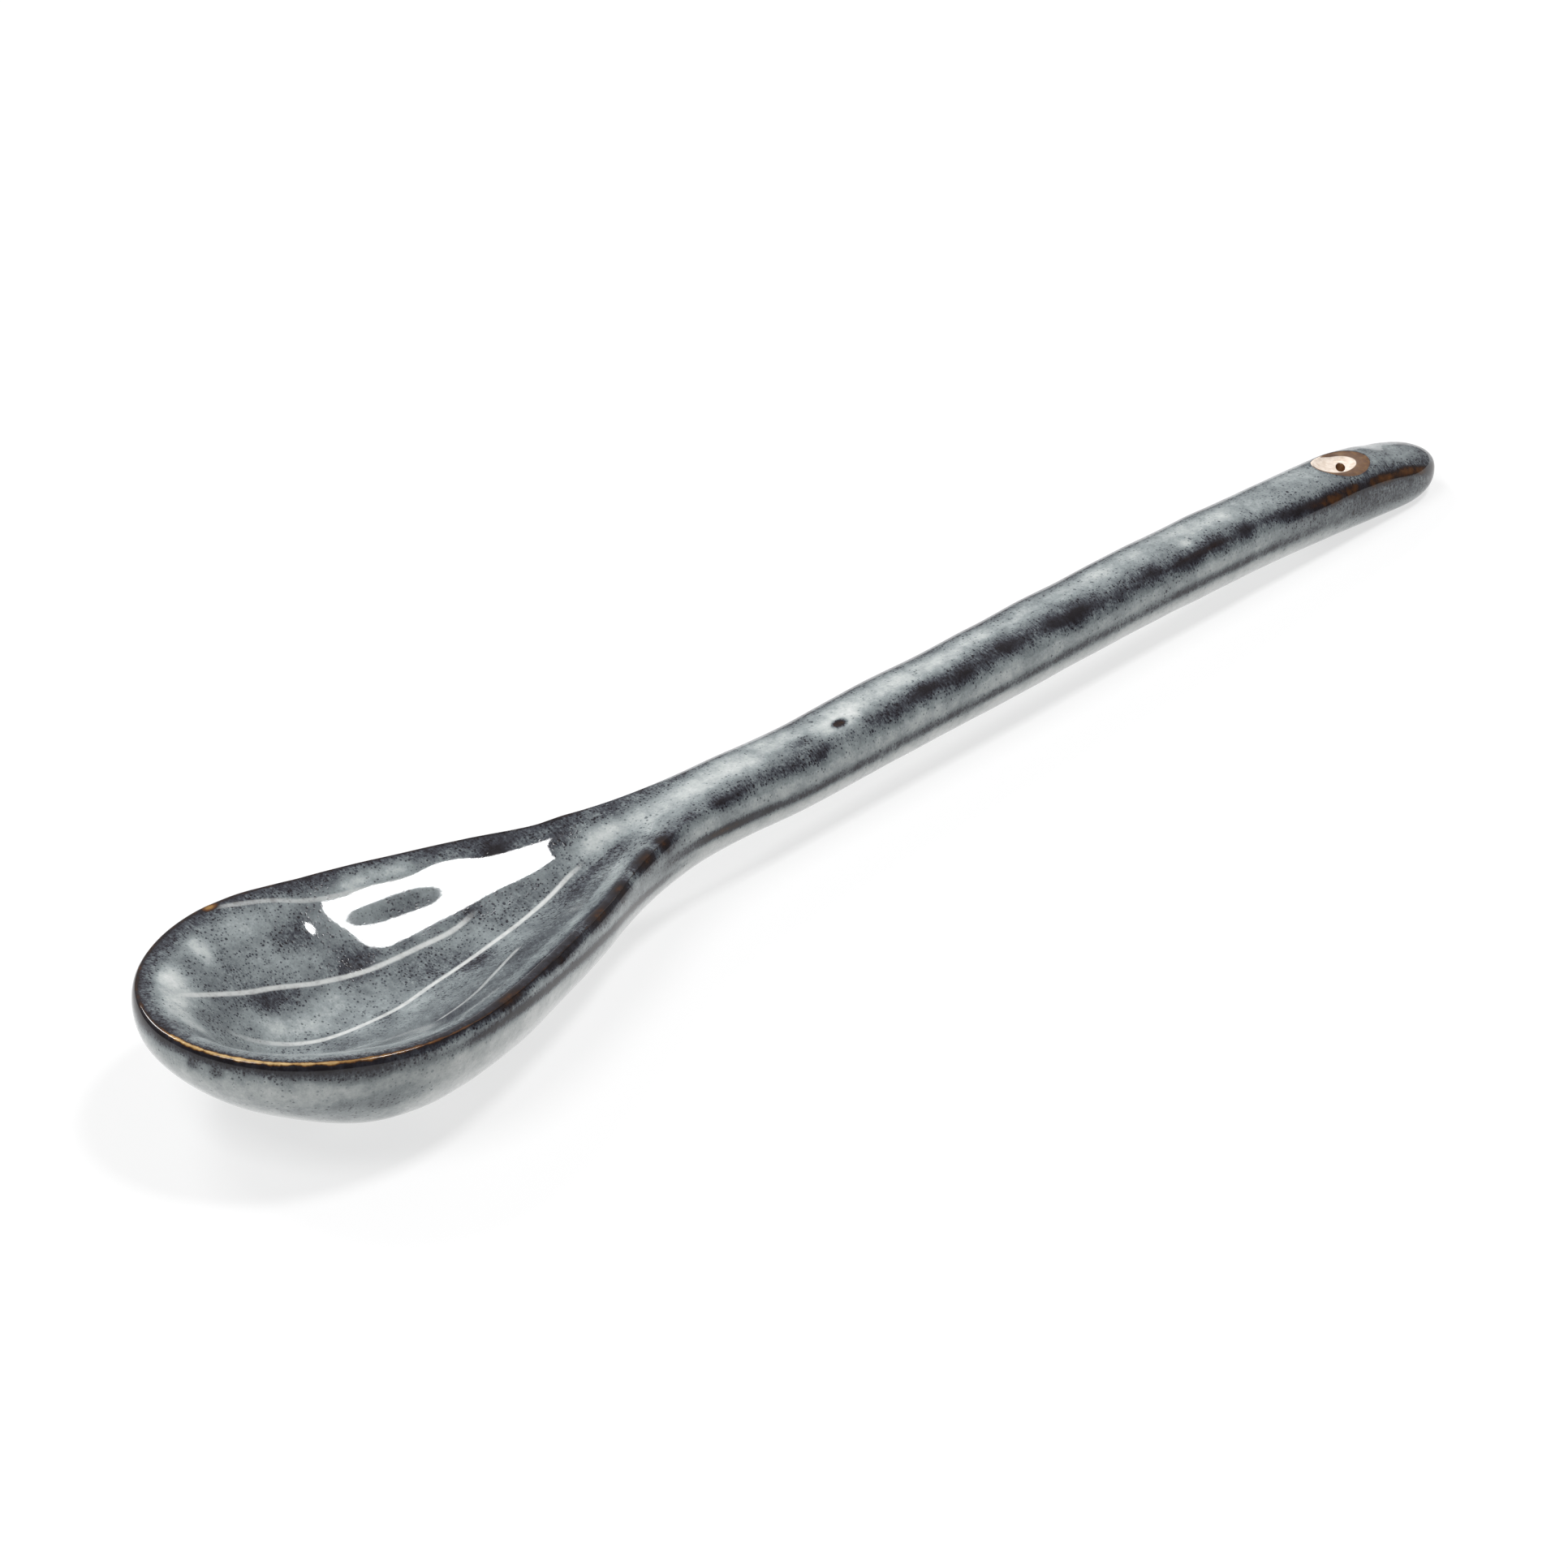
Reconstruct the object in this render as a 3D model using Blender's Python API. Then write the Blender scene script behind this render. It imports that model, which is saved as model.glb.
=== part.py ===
"""Hand-formed stoneware teaspoon: clay bowl and handle, the slip that joins them,
the glaze coats over both, and four slip lines under the glaze of the hollow.

Metres, +Z up. The spoon lies on z = 0 on the flat of its bowl and the flat under the
handle's end, with the bowl's tip towards -X and the handle's end towards +X.
The origin is under the middle of the spoon's box.
"""

import math

import bmesh
import bpy
import numpy as np

MM = 0.001

# ---------------------------------------------------------------- driving dimensions (mm)
# x runs from the outer tip of the bowl (0) to the end of the handle.
END_X = 140.0          # where the handle's end starts to round
END_R = 5.8            # how far the rounded end reaches past END_X
LENGTH = END_X + END_R
MIDDLE_X = LENGTH / 2  # world x = 0

# rim: half an ellipse at the tip, then a long taper to the neck
LIP_OUT = 0.4          # rim crest to the outermost wall
LIP_H = 1.2            # height of the rounded lip outside the crest
RIM_TIP_X = LIP_OUT
RIM_WIDEST_X = 15.0
RIM_HALF_WIDTH = 12.6
RIM_Z = 10.2           # crest height at the tip
RIM_FALL = 0.05        # drop of the crest for each mm towards the handle
FAN_X = 9.0            # centre that the tip's sections turn about
HALF_WIDTH = [(15, 12.6), (17.5, 12.45), (20, 12.05), (24, 11.15), (28, 9.95), (32, 8.7), (36, 7.3),
              (40, 5.85), (44, 4.65), (48, 3.7), (52, 2.95), (56, 2.6), (60, 2.55), (150, 2.55)]

# underside and floor of the hollow along the middle; the underside dips below 0 and is cut flat there
UNDERSIDE = [(-2, 5.3), (0, 4.4), (5.5, 2.2), (11.5, 0.15), (16, -0.2), (24, -0.2), (30, 0.4),
             (36, 0.85), (42, 1.15), (48, 1.5), (54, 1.9), (60, 2.1), (150, 2.1)]
FLOOR = [(-2, 4.2), (1, 4.1), (9, 3.8), (14, 3.6), (20, 3.6), (26, 3.9), (32, 4.5), (38, 5.2),
         (44, 6.0), (50, 6.7), (56, 7.15), (62, 7.3), (150, 7.3)]
# how softly the hollow leaves the rim crest, and how round its bottom is, by the crest's x
SHOULDER_POWER = [(0, 1.9), (6, 1.75), (12, 1.45), (18, 1.3), (150, 1.3)]
HOLLOW_POWER = [(0, 1.75), (18, 1.6), (150, 1.6)]
OUTER_POWER = 2.2      # roundness of the outer sections

# handle: a rounded square that arches a little and comes down to the table at its end
HANDLE_MIDDLE = [(30, 6.6), (50, 6.1), (56, 5.75), (64, 5.25), (75, 5.1), (85, 4.95), (95, 4.85),
                 (106, 4.65), (117, 4.25), (128, 3.55), (134, 3.05), (138, 2.5), (141, 1.75), (150, 1.6)]
HANDLE_HALF_HEIGHT = [(30, 2.95), (122, 2.95), (128, 3.0), (134, 3.05), (138, 2.85), (141, 2.35), (150, 2.3)]
HANDLE_HALF_WIDTH = 3.35
HANDLE_POWER = 2.4
END_POWER = 2.2
NECK = (36.0, 62.0)    # the bowl's sections turn into the handle's over this length

# coats
GLAZE = 0.35           # glaze thickness
GAP = 0.27             # clearance between pieces
SLIP_H = 0.2           # thickness of the slip lines
SLIP_W = 0.7           # width of the slip lines
CLAY_INSET = GLAZE + GAP
HOLLOW_EXTRA = SLIP_H + GAP  # more room under the hollow's glaze, for the slip lines
COAT_SPLIT_X = 60.5    # bowl coats end here, the handle's coat starts one gap later

# joint between bowl and handle: an oblique film of slip
JOINT_X = 54.0
JOINT_Z = 5.4
JOINT_LEAN = math.radians(35)
JOINT_FILM = 0.4

# hanging hole: a bare dish in the top, and a small bore from its bottom through the handle
HOLE_X, HOLE_Y = 133.5, -0.4
BORE_R = 0.6
DISH_R = 2.0           # of the dish at DISH_TOP_Z
DISH_TOP_Z = 5.6
DISH_BOTTOM_Z = 4.3    # where the dish has narrowed to the bore
MOUTH_R = 2.2          # where the glaze stops, round the dish
EXIT_R = 1.2           # where it stops round the bore, underneath

# slip lines in the hollow, as (x, y) points from the tip end to the neck end
SLIP_LINES = {
    "slip_line_far": [(19, 10.75), (21, 10.0), (23, 9.25), (26, 8.3), (29, 7.4), (32, 6.5)],
    "slip_line_middle": [(7.5, 6.8), (10, 6.5), (14, 5.7), (17.5, 4.6), (20, 4.0), (22.5, 3.5), (26.5, 3.0), (30, 2.6), (33, 2.75)],
    "slip_line_near": [(8.5, 3.5), (10.5, 2.25), (12.7, 1.2), (15, 0.3), (17.6, -0.2), (21, -0.45), (24.5, -0.3), (29, -0.2),
                       (33, -0.1), (37.5, 0.3), (40.3, 0.6), (42, 0.65)],
    "slip_line_short": [(18, -7.2), (20.4, -6.95), (23, -6.3), (26.2, -5.0), (29.6, -3.6), (31, -3.1)],
}

# ---------------------------------------------------------------- fineness of the sections
TIP_TURNS = [0, 12, 24, 36, 48, 60, 71, 81, 90]
BOWL_X = [18, 21.5, 25, 28.5, 32, 35.5, 39, 42.5, 46, 49.5, 53, 57]
HANDLE_X = [66, 74, 84, 94, 104, 114, 122, 128, 131, 134, 137.5]
END_TURNS = [0, 24, 46, 66, 90]
# places of the columns of a half section: hollow up to the crest, outer lip, outside
COLUMNS = ([0, 0.15, 0.3, 0.44, 0.57, 0.69, 0.8, 0.9, 0.965], [0, 0.5], [0, 0.17, 0.34, 0.5, 0.66, 0.8, 0.9])

GLAZE_COLOUR = (0.23, 0.25, 0.26, 1)
INNER_GLAZE_COLOUR = (0.27, 0.30, 0.31, 1)
HANDLE_GLAZE_COLOUR = (0.25, 0.27, 0.28, 1)
CLAY_COLOUR = (0.80, 0.70, 0.60, 1)
SLIP_COLOUR = (0.62, 0.63, 0.62, 1)


# ---------------------------------------------------------------- geometry of the sections
def along(table, x):
    """Smooth curve through (station, value) pairs that never overshoots them."""
    s = np.array([p[0] for p in table], float)
    v = np.array([p[1] for p in table], float)
    h = np.diff(s)
    slope = np.diff(v) / h
    d = np.zeros(len(s))
    d[0], d[-1] = slope[0], slope[-1]
    for k in range(1, len(s) - 1):
        if slope[k - 1] * slope[k] > 0:
            w1, w2 = 2 * h[k] + h[k - 1], h[k] + 2 * h[k - 1]
            d[k] = (w1 + w2) / (w1 / slope[k - 1] + w2 / slope[k])
    x = np.clip(np.asarray(x, float), s[0], s[-1])
    k = np.clip(np.searchsorted(s, x, side="right") - 1, 0, len(s) - 2)
    t = (x - s[k]) / h[k]
    return (v[k] * (1 + 2 * t) * (1 - t) ** 2 + h[k] * d[k] * t * (1 - t) ** 2
            + v[k + 1] * t * t * (3 - 2 * t) + h[k] * d[k + 1] * t * t * (t - 1))


def smooth(x, start, end):
    t = np.clip((x - start) / (end - start), 0, 1)
    return t * t * (3 - 2 * t)


def column_places(columns):
    """(segment, place 0..1) of each column of a half section, from the middle of the top to the middle of the underside."""
    segment = [k for k, places in enumerate(columns) for _ in places]
    place = [p for places in columns for p in places]
    return np.array(segment + [len(columns) - 1]), np.array(place + [1.0])


def stations(tip_turns, xs, end_turns):
    """Rows of (crest x, crest y, axis x, end turn)."""
    rows = []
    for p in np.radians(tip_turns):
        rows.append((RIM_WIDEST_X - (RIM_WIDEST_X - RIM_TIP_X) * math.cos(p), RIM_HALF_WIDTH * math.sin(p),
                     RIM_WIDEST_X - (RIM_WIDEST_X - FAN_X) * math.cos(p), 0.0))
    for x in xs:
        rows.append((x, float(along(HALF_WIDTH, x)), x, 0.0))
    for p in np.radians(end_turns):
        rows.append((END_X, float(along(HALF_WIDTH, END_X)), END_X, max(p, 1e-9)))
    return np.array(rows)


def hollow_drop(t, cx):
    """Share of the hollow's depth at the place t, 0 in the middle and 1 on the crest, and its rate of change."""
    q = np.clip(1 - t, 0, 1)
    shoulder, round_ = along(SHOULDER_POWER, cx), along(HOLLOW_POWER, cx)
    rest = 1 - q ** shoulder
    drop = 1 - rest ** round_
    rate = shoulder * round_ * q ** (shoulder - 1) * rest ** (round_ - 1)
    return drop, rate


def half_sections(rows, segment, place, inset, extra=0.0):
    """Points of the half at +Y, set in evenly from the glazed surface; extra sets the hollow deeper."""
    cx, cy, mx, turn = (rows[:, i][:, None] for i in range(4))
    segment, place = segment[None, :], place[None, :]
    w = np.hypot(cx - mx, cy)
    dx, dy = (cx - mx) / w, cy / w
    crest = RIM_Z - RIM_FALL * (cx - RIM_TIP_X)
    lip = crest - LIP_H
    q = place * math.pi / 2
    sn, cs = np.sin(q), np.abs(np.cos(q))
    mid, outer = w - 0.2 * inset, w + LIP_OUT - inset
    # hollow: lowered so that its distance from the glazed surface is even on the slope too
    r0 = place * mid
    depth = crest - along(FLOOR, mx + dx * r0)
    drop, rate = hollow_drop(place, cx)
    lower = inset + extra * smooth(1 - place, 0.0, 0.08)
    z0 = crest - depth * drop - lower * np.hypot(1, depth / w * rate)
    r1, z1 = mid + (outer - mid) * sn, lip + (LIP_H - inset) * cs
    r2 = cs ** (2 / OUTER_POWER) * outer
    under = along(UNDERSIDE, mx + dx * r2) + inset
    z2 = under + (lip - under) * (1 - sn ** (2 / OUTER_POWER))
    rb, zb = np.choose(segment, [r0, r1, r2]), np.choose(segment, [z0, z1, z2])
    angle = np.radians(np.choose(segment, [90 - 48 * place, 42 - 42 * place, -90 * place]))
    wide = HANDLE_HALF_WIDTH - inset
    high = along(HANDLE_HALF_HEIGHT, mx) - inset
    c, s = np.abs(np.cos(angle)), np.sin(angle)
    rh = wide * c ** (2 / HANDLE_POWER)
    zh = along(HANDLE_MIDDLE, mx) + high * np.sign(s) * np.abs(s) ** (2 / HANDLE_POWER)
    b = smooth(mx, *NECK)
    r, z = rb * (1 - b) + rh * b, zb * (1 - b) + zh * b
    out, across = np.sin(turn) ** (2 / END_POWER), np.abs(np.cos(turn)) ** (2 / END_POWER)
    x = np.where(turn > 0, mx + r / wide * out * (END_R - inset), mx + dx * r)
    y = np.where(turn > 0, r * across, dy * r)
    y = np.where(np.abs(y) < 1e-7, 0.0, y)
    return np.stack([x, y, np.maximum(z, inset)], -1)


def hollow_point(x, y):
    """Height of the hollow's glazed surface over (x, y), for the bowl ahead of the neck."""
    r = abs(y)
    if x >= RIM_WIDEST_X:
        w, mx, dx, cx = float(along(HALF_WIDTH, x)), x, 0.0, x
    else:
        lo, hi = 0.0, math.pi / 2
        for _ in range(40):
            p = (lo + hi) / 2
            cx, cy, mx, _turn = stations([math.degrees(p)], [], [])[0]
            if (x - mx) * cy - (cx - mx) * r > 0:
                lo = p
            else:
                hi = p
        w = math.hypot(cx - mx, cy)
        dx = (cx - mx) / w
        r = math.hypot(x - mx, r)
    crest = RIM_Z - RIM_FALL * (cx - RIM_TIP_X)
    b = float(smooth(mx, *NECK))
    top, side = (float(along(t, mx)) for t in (HANDLE_MIDDLE, HANDLE_HALF_HEIGHT))

    def at(place):
        angle = math.radians(90 - 48 * place)
        depth = crest - float(along(FLOOR, mx + dx * place * w))
        z = crest - depth * float(hollow_drop(place, cx)[0])
        rh = HANDLE_HALF_WIDTH * math.cos(angle) ** (2 / HANDLE_POWER)
        zh = top + side * math.sin(angle) ** (2 / HANDLE_POWER)
        return place * w * (1 - b) + rh * b, z * (1 - b) + zh * b

    lo, hi = 0.0, 1.0
    for _ in range(40):
        place = (lo + hi) / 2
        if at(place)[0] < r:
            lo = place
        else:
            hi = place
    return at(lo)[1]


# ---------------------------------------------------------------- meshes
def across_top(half, last):
    """Columns from the lip at -Y over the hollow to the lip at +Y."""
    far = half[:, : last + 1]
    return np.concatenate([(far * [1, -1, 1])[:, :0:-1], far], axis=1)


def round_under(half, first):
    """Columns from the lip at -Y under the bowl to the lip at +Y."""
    far = half[:, first:]
    return np.concatenate([(far * [1, -1, 1])[:, :-1], far[:, ::-1]], axis=1)


def all_round(half):
    """Columns round the whole section, starting at the middle of the top."""
    return np.concatenate([half, (half * [1, -1, 1])[:, -2:0:-1]], axis=1)


def lofted(name, skin, backing=None, closed=False, fold_first=True, fold_last=False):
    """A closed mesh from a grid of sections: a solid, or a coat between the skin and its backing.

    Where a row is folded, its two halves lie on each other and share their points."""
    m, n = skin.shape[:2]
    number = np.arange(m * n).reshape(m, n)
    mirror = [(n - j) % n if closed else n - 1 - j for j in range(n)]
    for row, folded in ((0, fold_first), (m - 1, fold_last)):
        if folded:
            for j in range(n):
                number[row, j] = row * n + min(j, mirror[j])
    points = [skin] if backing is None else [skin, backing]
    faces = []
    wide = n if closed else n - 1
    for layer in range(len(points)):
        base = layer * m * n
        for i in range(m - 1):
            for j in range(wide):
                k = (j + 1) % n
                quad = [number[i, j], number[i + 1, j], number[i + 1, k], number[i, k]]
                quad = [int(v) + base for v in dict.fromkeys(int(v) for v in quad)]
                if len(quad) > 2:
                    faces.append(quad if layer == 0 else quad[::-1])
    if backing is not None:
        edges = []
        for row, folded in ((0, fold_first), (m - 1, fold_last)):
            if not folded:
                edges += [(number[row, j], number[row, (j + 1) % n]) for j in range(wide)]
        if not closed:
            for j in (0, n - 1):
                edges += [(number[i, j], number[i + 1, j]) for i in range(m - 1)]
        shift = m * n
        faces += [[int(a), int(b), int(b) + shift, int(a) + shift] for a, b in edges]
    flat = np.concatenate([p.reshape(-1, 3) for p in points])
    return mesh_of(name, (flat - [MIDDLE_X, 0, 0]) * MM, faces)


def mesh_of(name, points, faces):
    used = sorted({v for f in faces for v in f})
    place = {v: k for k, v in enumerate(used)}
    mesh = bpy.data.meshes.new(name)
    mesh.from_pydata([tuple(points[v]) for v in used], [], [[place[v] for v in f] for f in faces])
    bm = bmesh.new()
    bm.from_mesh(mesh)
    bmesh.ops.recalc_face_normals(bm, faces=bm.faces)
    bmesh.ops.triangulate(bm, faces=bm.faces)
    bm.to_mesh(mesh)
    bm.free()
    mesh.shade_smooth()
    mesh.set_sharp_from_angle(angle=math.radians(45))
    return mesh


def ribbon(name, route):
    """A flat slip line that follows the hollow, between its glaze and the clay."""
    t = np.linspace(0, len(route) - 1, 4 * (len(route) - 1) + 1)
    xs = along([(i, p[0]) for i, p in enumerate(route)], t)
    ys = along([(i, p[1]) for i, p in enumerate(route)], t)
    depth = GLAZE + GAP + SLIP_H / 2
    e = 0.05
    middles, normals = [], []
    for x, y in zip(xs, ys):
        n = np.array([(hollow_point(x - e, y) - hollow_point(x + e, y)) / (2 * e),
                      (hollow_point(x, y - e) - hollow_point(x, y + e)) / (2 * e), 1.0])
        n /= np.linalg.norm(n)
        middles.append(np.array([x, y, hollow_point(x, y)]) - n * depth)
        normals.append(n)
    middles, normals = np.array(middles), np.array(normals)
    run = np.gradient(middles, axis=0)
    side = np.cross(normals, run)
    side /= np.linalg.norm(side, axis=1)[:, None]
    corners = [side * SLIP_W / 2 * a + normals * SLIP_H / 2 * b for a, b in ((-1, -1), (1, -1), (1, 1), (-1, 1))]
    grid = np.stack([middles + c for c in corners], axis=1)
    m = len(grid)
    faces = [[i * 4 + j, i * 4 + (j + 1) % 4, (i + 1) * 4 + (j + 1) % 4, (i + 1) * 4 + j]
             for i in range(m - 1) for j in range(4)]
    faces += [[3, 2, 1, 0], [(m - 1) * 4 + j for j in range(4)]]
    return mesh_of(name, (grid.reshape(-1, 3) - [MIDDLE_X, 0, 0]) * MM, faces)


# ---------------------------------------------------------------- scene
for old in list(bpy.data.objects):
    bpy.data.objects.remove(old, do_unlink=True)

parts = bpy.data.collections.new("teaspoon")
cutters = bpy.data.collections.new("teaspoon_cutters")
bpy.context.scene.collection.children.link(parts)
bpy.context.scene.collection.children.link(cutters)

origin = bpy.data.objects.new("teaspoon_origin", None)
parts.objects.link(origin)


def material(name, colour, roughness):
    made = bpy.data.materials.new(name)
    made.use_nodes = True
    shader = made.node_tree.nodes["Principled BSDF"]
    shader.inputs["Base Color"].default_value = colour
    shader.inputs["Roughness"].default_value = roughness
    shader.inputs["Metallic"].default_value = 0.0
    return made


def part(name, mesh, colour, roughness):
    obj = bpy.data.objects.new(name, mesh)
    obj.data.materials.append(material(name + "_material", colour, roughness))
    obj.parent = origin
    parts.objects.link(obj)
    return obj


def as_cutter(obj, name):
    for owner in list(obj.users_collection):
        owner.objects.unlink(obj)
    cutters.objects.link(obj)
    obj.name = name
    obj.hide_render = True
    obj.display_type = "WIRE"
    return obj


def slab(name, start, end):
    """A leaning block across the neck, from start to end (mm) along the joint's normal."""
    bpy.ops.mesh.primitive_cube_add(size=1)
    obj = as_cutter(bpy.context.object, name)
    obj.data.transform(obj.matrix_world)
    for v in obj.data.vertices:
        v.co = ((start + end) / 2 * MM + v.co.x * (end - start) * MM, v.co.y * 60 * MM, v.co.z * 260 * MM)
    obj.location = ((JOINT_X - MIDDLE_X) * MM, 0, JOINT_Z * MM)
    obj.rotation_euler = (0, JOINT_LEAN, 0)
    return obj


def drill(name, radius, low, high):
    bpy.ops.mesh.primitive_cylinder_add(vertices=32, radius=radius * MM, depth=(high - low) * MM,
                                        location=((HOLE_X - MIDDLE_X) * MM, HOLE_Y * MM, (low + high) / 2 * MM))
    return as_cutter(bpy.context.object, name)


def countersink(name, top_radius, bottom_radius, low, high, reach):
    """A cone cutter that goes on widening for reach (mm) above its top."""
    wider = top_radius + (top_radius - bottom_radius) / (high - low) * reach
    bpy.ops.mesh.primitive_cone_add(vertices=32, radius1=bottom_radius * MM, radius2=wider * MM,
                                    depth=(high + reach - low) * MM,
                                    location=((HOLE_X - MIDDLE_X) * MM, HOLE_Y * MM, (low + high + reach) / 2 * MM))
    return as_cutter(bpy.context.object, name)


def cut(obj, cutter, operation):
    step = obj.modifiers.new(cutter.name, "BOOLEAN")
    step.operation = operation
    step.solver = "EXACT"
    step.object = cutter


segment, place = column_places(COLUMNS)
crest_column = len(COLUMNS[0]) + len(COLUMNS[1])
bowl_rows = stations(TIP_TURNS, BOWL_X + [COAT_SPLIT_X], [])
handle_rows = stations([], [COAT_SPLIT_X + GAP] + HANDLE_X, END_TURNS)
clay_rows = stations(TIP_TURNS, BOWL_X + [COAT_SPLIT_X] + HANDLE_X, END_TURNS)

# clay: one form, parted at the neck by the oblique film of slip
clay = half_sections(clay_rows, segment, place, CLAY_INSET, HOLLOW_EXTRA)
core = lofted("clay_form", all_round(clay), closed=True, fold_last=True)
bowl_clay = part("bowl_clay", core, CLAY_COLOUR, 0.85)
handle_clay = part("handle_clay", core.copy(), CLAY_COLOUR, 0.85)
neck_slip = part("neck_luting_slip", core.copy(), SLIP_COLOUR, 0.9)
cut(bowl_clay, slab("handle_side", -JOINT_FILM / 2 - GAP, 140), "DIFFERENCE")
cut(handle_clay, slab("bowl_side", -90, JOINT_FILM / 2 + GAP), "DIFFERENCE")
cut(handle_clay, countersink("hanging_dish", DISH_R, BORE_R - 0.1, DISH_BOTTOM_Z, DISH_TOP_Z, 1.0), "DIFFERENCE")
cut(handle_clay, drill("hanging_bore", BORE_R, -10, 8), "DIFFERENCE")
cut(neck_slip, slab("slip_film", -JOINT_FILM / 2, JOINT_FILM / 2), "INTERSECT")

# glaze coats: skin on the finished surface, backing one glaze thickness below it
skin, backing = (half_sections(bowl_rows, segment, place, g) for g in (0.0, GLAZE))
part("bowl_inner_glaze", lofted("bowl_inner_glaze", across_top(skin, crest_column - 1),
                                across_top(backing, crest_column - 1)), INNER_GLAZE_COLOUR, 0.12)
part("bowl_outer_glaze", lofted("bowl_outer_glaze", round_under(skin, crest_column),
                                round_under(backing, crest_column)), GLAZE_COLOUR, 0.15)
skin, backing = (half_sections(handle_rows, segment, place, g) for g in (0.0, GLAZE))
handle_glaze = part("handle_glaze", lofted("handle_glaze", all_round(skin), all_round(backing), closed=True,
                                           fold_first=False, fold_last=True), HANDLE_GLAZE_COLOUR, 0.15)
cut(handle_glaze, drill("hole_mouth", MOUTH_R, 3.5, 12), "DIFFERENCE")
cut(handle_glaze, drill("hole_exit", EXIT_R, -10, 2.5), "DIFFERENCE")

for line, route in SLIP_LINES.items():
    part(line, ribbon(line, route), SLIP_COLOUR, 0.6)
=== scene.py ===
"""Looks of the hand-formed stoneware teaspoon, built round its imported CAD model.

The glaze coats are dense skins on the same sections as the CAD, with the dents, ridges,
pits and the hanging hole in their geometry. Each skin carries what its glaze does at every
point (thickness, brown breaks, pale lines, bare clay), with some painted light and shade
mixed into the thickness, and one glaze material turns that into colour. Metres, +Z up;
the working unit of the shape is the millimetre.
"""

import math

import bmesh
import bpy
import numpy as np
from mathutils import Matrix, Vector, noise


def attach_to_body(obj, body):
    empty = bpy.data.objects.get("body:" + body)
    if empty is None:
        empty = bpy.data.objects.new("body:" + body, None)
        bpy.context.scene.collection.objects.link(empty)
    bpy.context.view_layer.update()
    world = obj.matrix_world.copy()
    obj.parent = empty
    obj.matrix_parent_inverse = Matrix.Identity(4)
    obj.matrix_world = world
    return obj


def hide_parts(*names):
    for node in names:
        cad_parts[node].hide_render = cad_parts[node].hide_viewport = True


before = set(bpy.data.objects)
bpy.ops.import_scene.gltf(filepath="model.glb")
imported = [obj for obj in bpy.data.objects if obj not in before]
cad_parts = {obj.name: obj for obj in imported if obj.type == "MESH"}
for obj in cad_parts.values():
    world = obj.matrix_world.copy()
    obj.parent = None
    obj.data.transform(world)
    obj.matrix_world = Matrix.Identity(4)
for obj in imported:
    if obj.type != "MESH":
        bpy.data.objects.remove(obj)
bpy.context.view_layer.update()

MM = 0.001
MIDDLE_X = 72.9        # the sections' x of the frame's x = 0

# ---------------------------------------------------------------- sections, as in the CAD
END_X, END_REACH = 140.0, 6.2
LIP_OUT, LIP_H = 0.4, 1.2
RIM_TIP_X, RIM_WIDEST_X, RIM_HALF_WIDTH = 0.4, 15.0, 12.6
RIM_Z, RIM_FALL, FAN_X = 10.2, 0.05, 9.0
HALF_WIDTH = [(15, 12.6), (17.5, 12.45), (20, 12.05), (24, 11.15), (28, 9.95), (32, 8.7), (36, 7.3),
              (40, 5.85), (44, 4.65), (48, 3.7), (52, 2.95), (56, 2.6), (60, 2.55), (150, 2.55)]
UNDERSIDE = [(-2, 5.3), (0, 4.4), (5.5, 2.2), (11.5, 0.15), (16, -0.2), (24, -0.2), (30, 0.4),
             (36, 0.85), (42, 1.15), (48, 1.5), (54, 1.9), (60, 2.1), (150, 2.1)]
FLOOR = [(-2, 4.2), (1, 4.1), (9, 3.8), (14, 3.6), (20, 3.6), (26, 3.9), (32, 4.5), (38, 5.2),
         (44, 6.0), (50, 6.7), (56, 7.15), (62, 7.3), (150, 7.3)]
SHOULDER_POWER = [(0, 1.9), (6, 1.75), (12, 1.45), (18, 1.3), (150, 1.3)]
HOLLOW_POWER = [(0, 1.75), (18, 1.6), (150, 1.6)]
OUTER_POWER = 2.2
HANDLE_MIDDLE = [(30, 6.6), (50, 6.1), (56, 5.75), (64, 5.25), (75, 5.1), (85, 4.95), (95, 4.85),
                 (106, 4.65), (117, 4.25), (128, 3.55), (134, 3.05), (138, 2.5), (141, 2.0), (144, 1.75), (150, 1.6)]
HANDLE_HALF_HEIGHT = [(30, 2.95), (122, 2.95), (128, 3.0), (134, 3.05), (138, 2.85), (141, 2.55), (144, 2.4), (150, 2.3)]
HANDLE_HALF_WIDTH, HANDLE_POWER, END_POWER = 3.35, 2.4, 2.2
NECK = (36.0, 62.0)
COAT_SPLIT_X = 60.5
BACK = 0.3             # thickness of the bowl's skins
HOLE = (133.75, -0.3)  # middle of the hanging hole


def along(table, x):
    """Smooth curve through (station, value) pairs that never overshoots them."""
    s = np.array([p[0] for p in table], float)
    v = np.array([p[1] for p in table], float)
    h = np.diff(s)
    slope = np.diff(v) / h
    d = np.zeros(len(s))
    d[0], d[-1] = slope[0], slope[-1]
    for k in range(1, len(s) - 1):
        if slope[k - 1] * slope[k] > 0:
            w1, w2 = 2 * h[k] + h[k - 1], h[k] + 2 * h[k - 1]
            d[k] = (w1 + w2) / (w1 / slope[k - 1] + w2 / slope[k])
    x = np.clip(np.asarray(x, float), s[0], s[-1])
    k = np.clip(np.searchsorted(s, x, side="right") - 1, 0, len(s) - 2)
    t = (x - s[k]) / h[k]
    return (v[k] * (1 + 2 * t) * (1 - t) ** 2 + h[k] * d[k] * t * (1 - t) ** 2
            + v[k + 1] * t * t * (3 - 2 * t) + h[k] * d[k + 1] * t * t * (t - 1))


def smooth(x, start, end):
    t = np.clip((x - start) / (end - start), 0, 1)
    return t * t * (3 - 2 * t)


def bell(x, middle, reach):
    return np.exp(-(((x - middle) / reach) ** 2))


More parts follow.
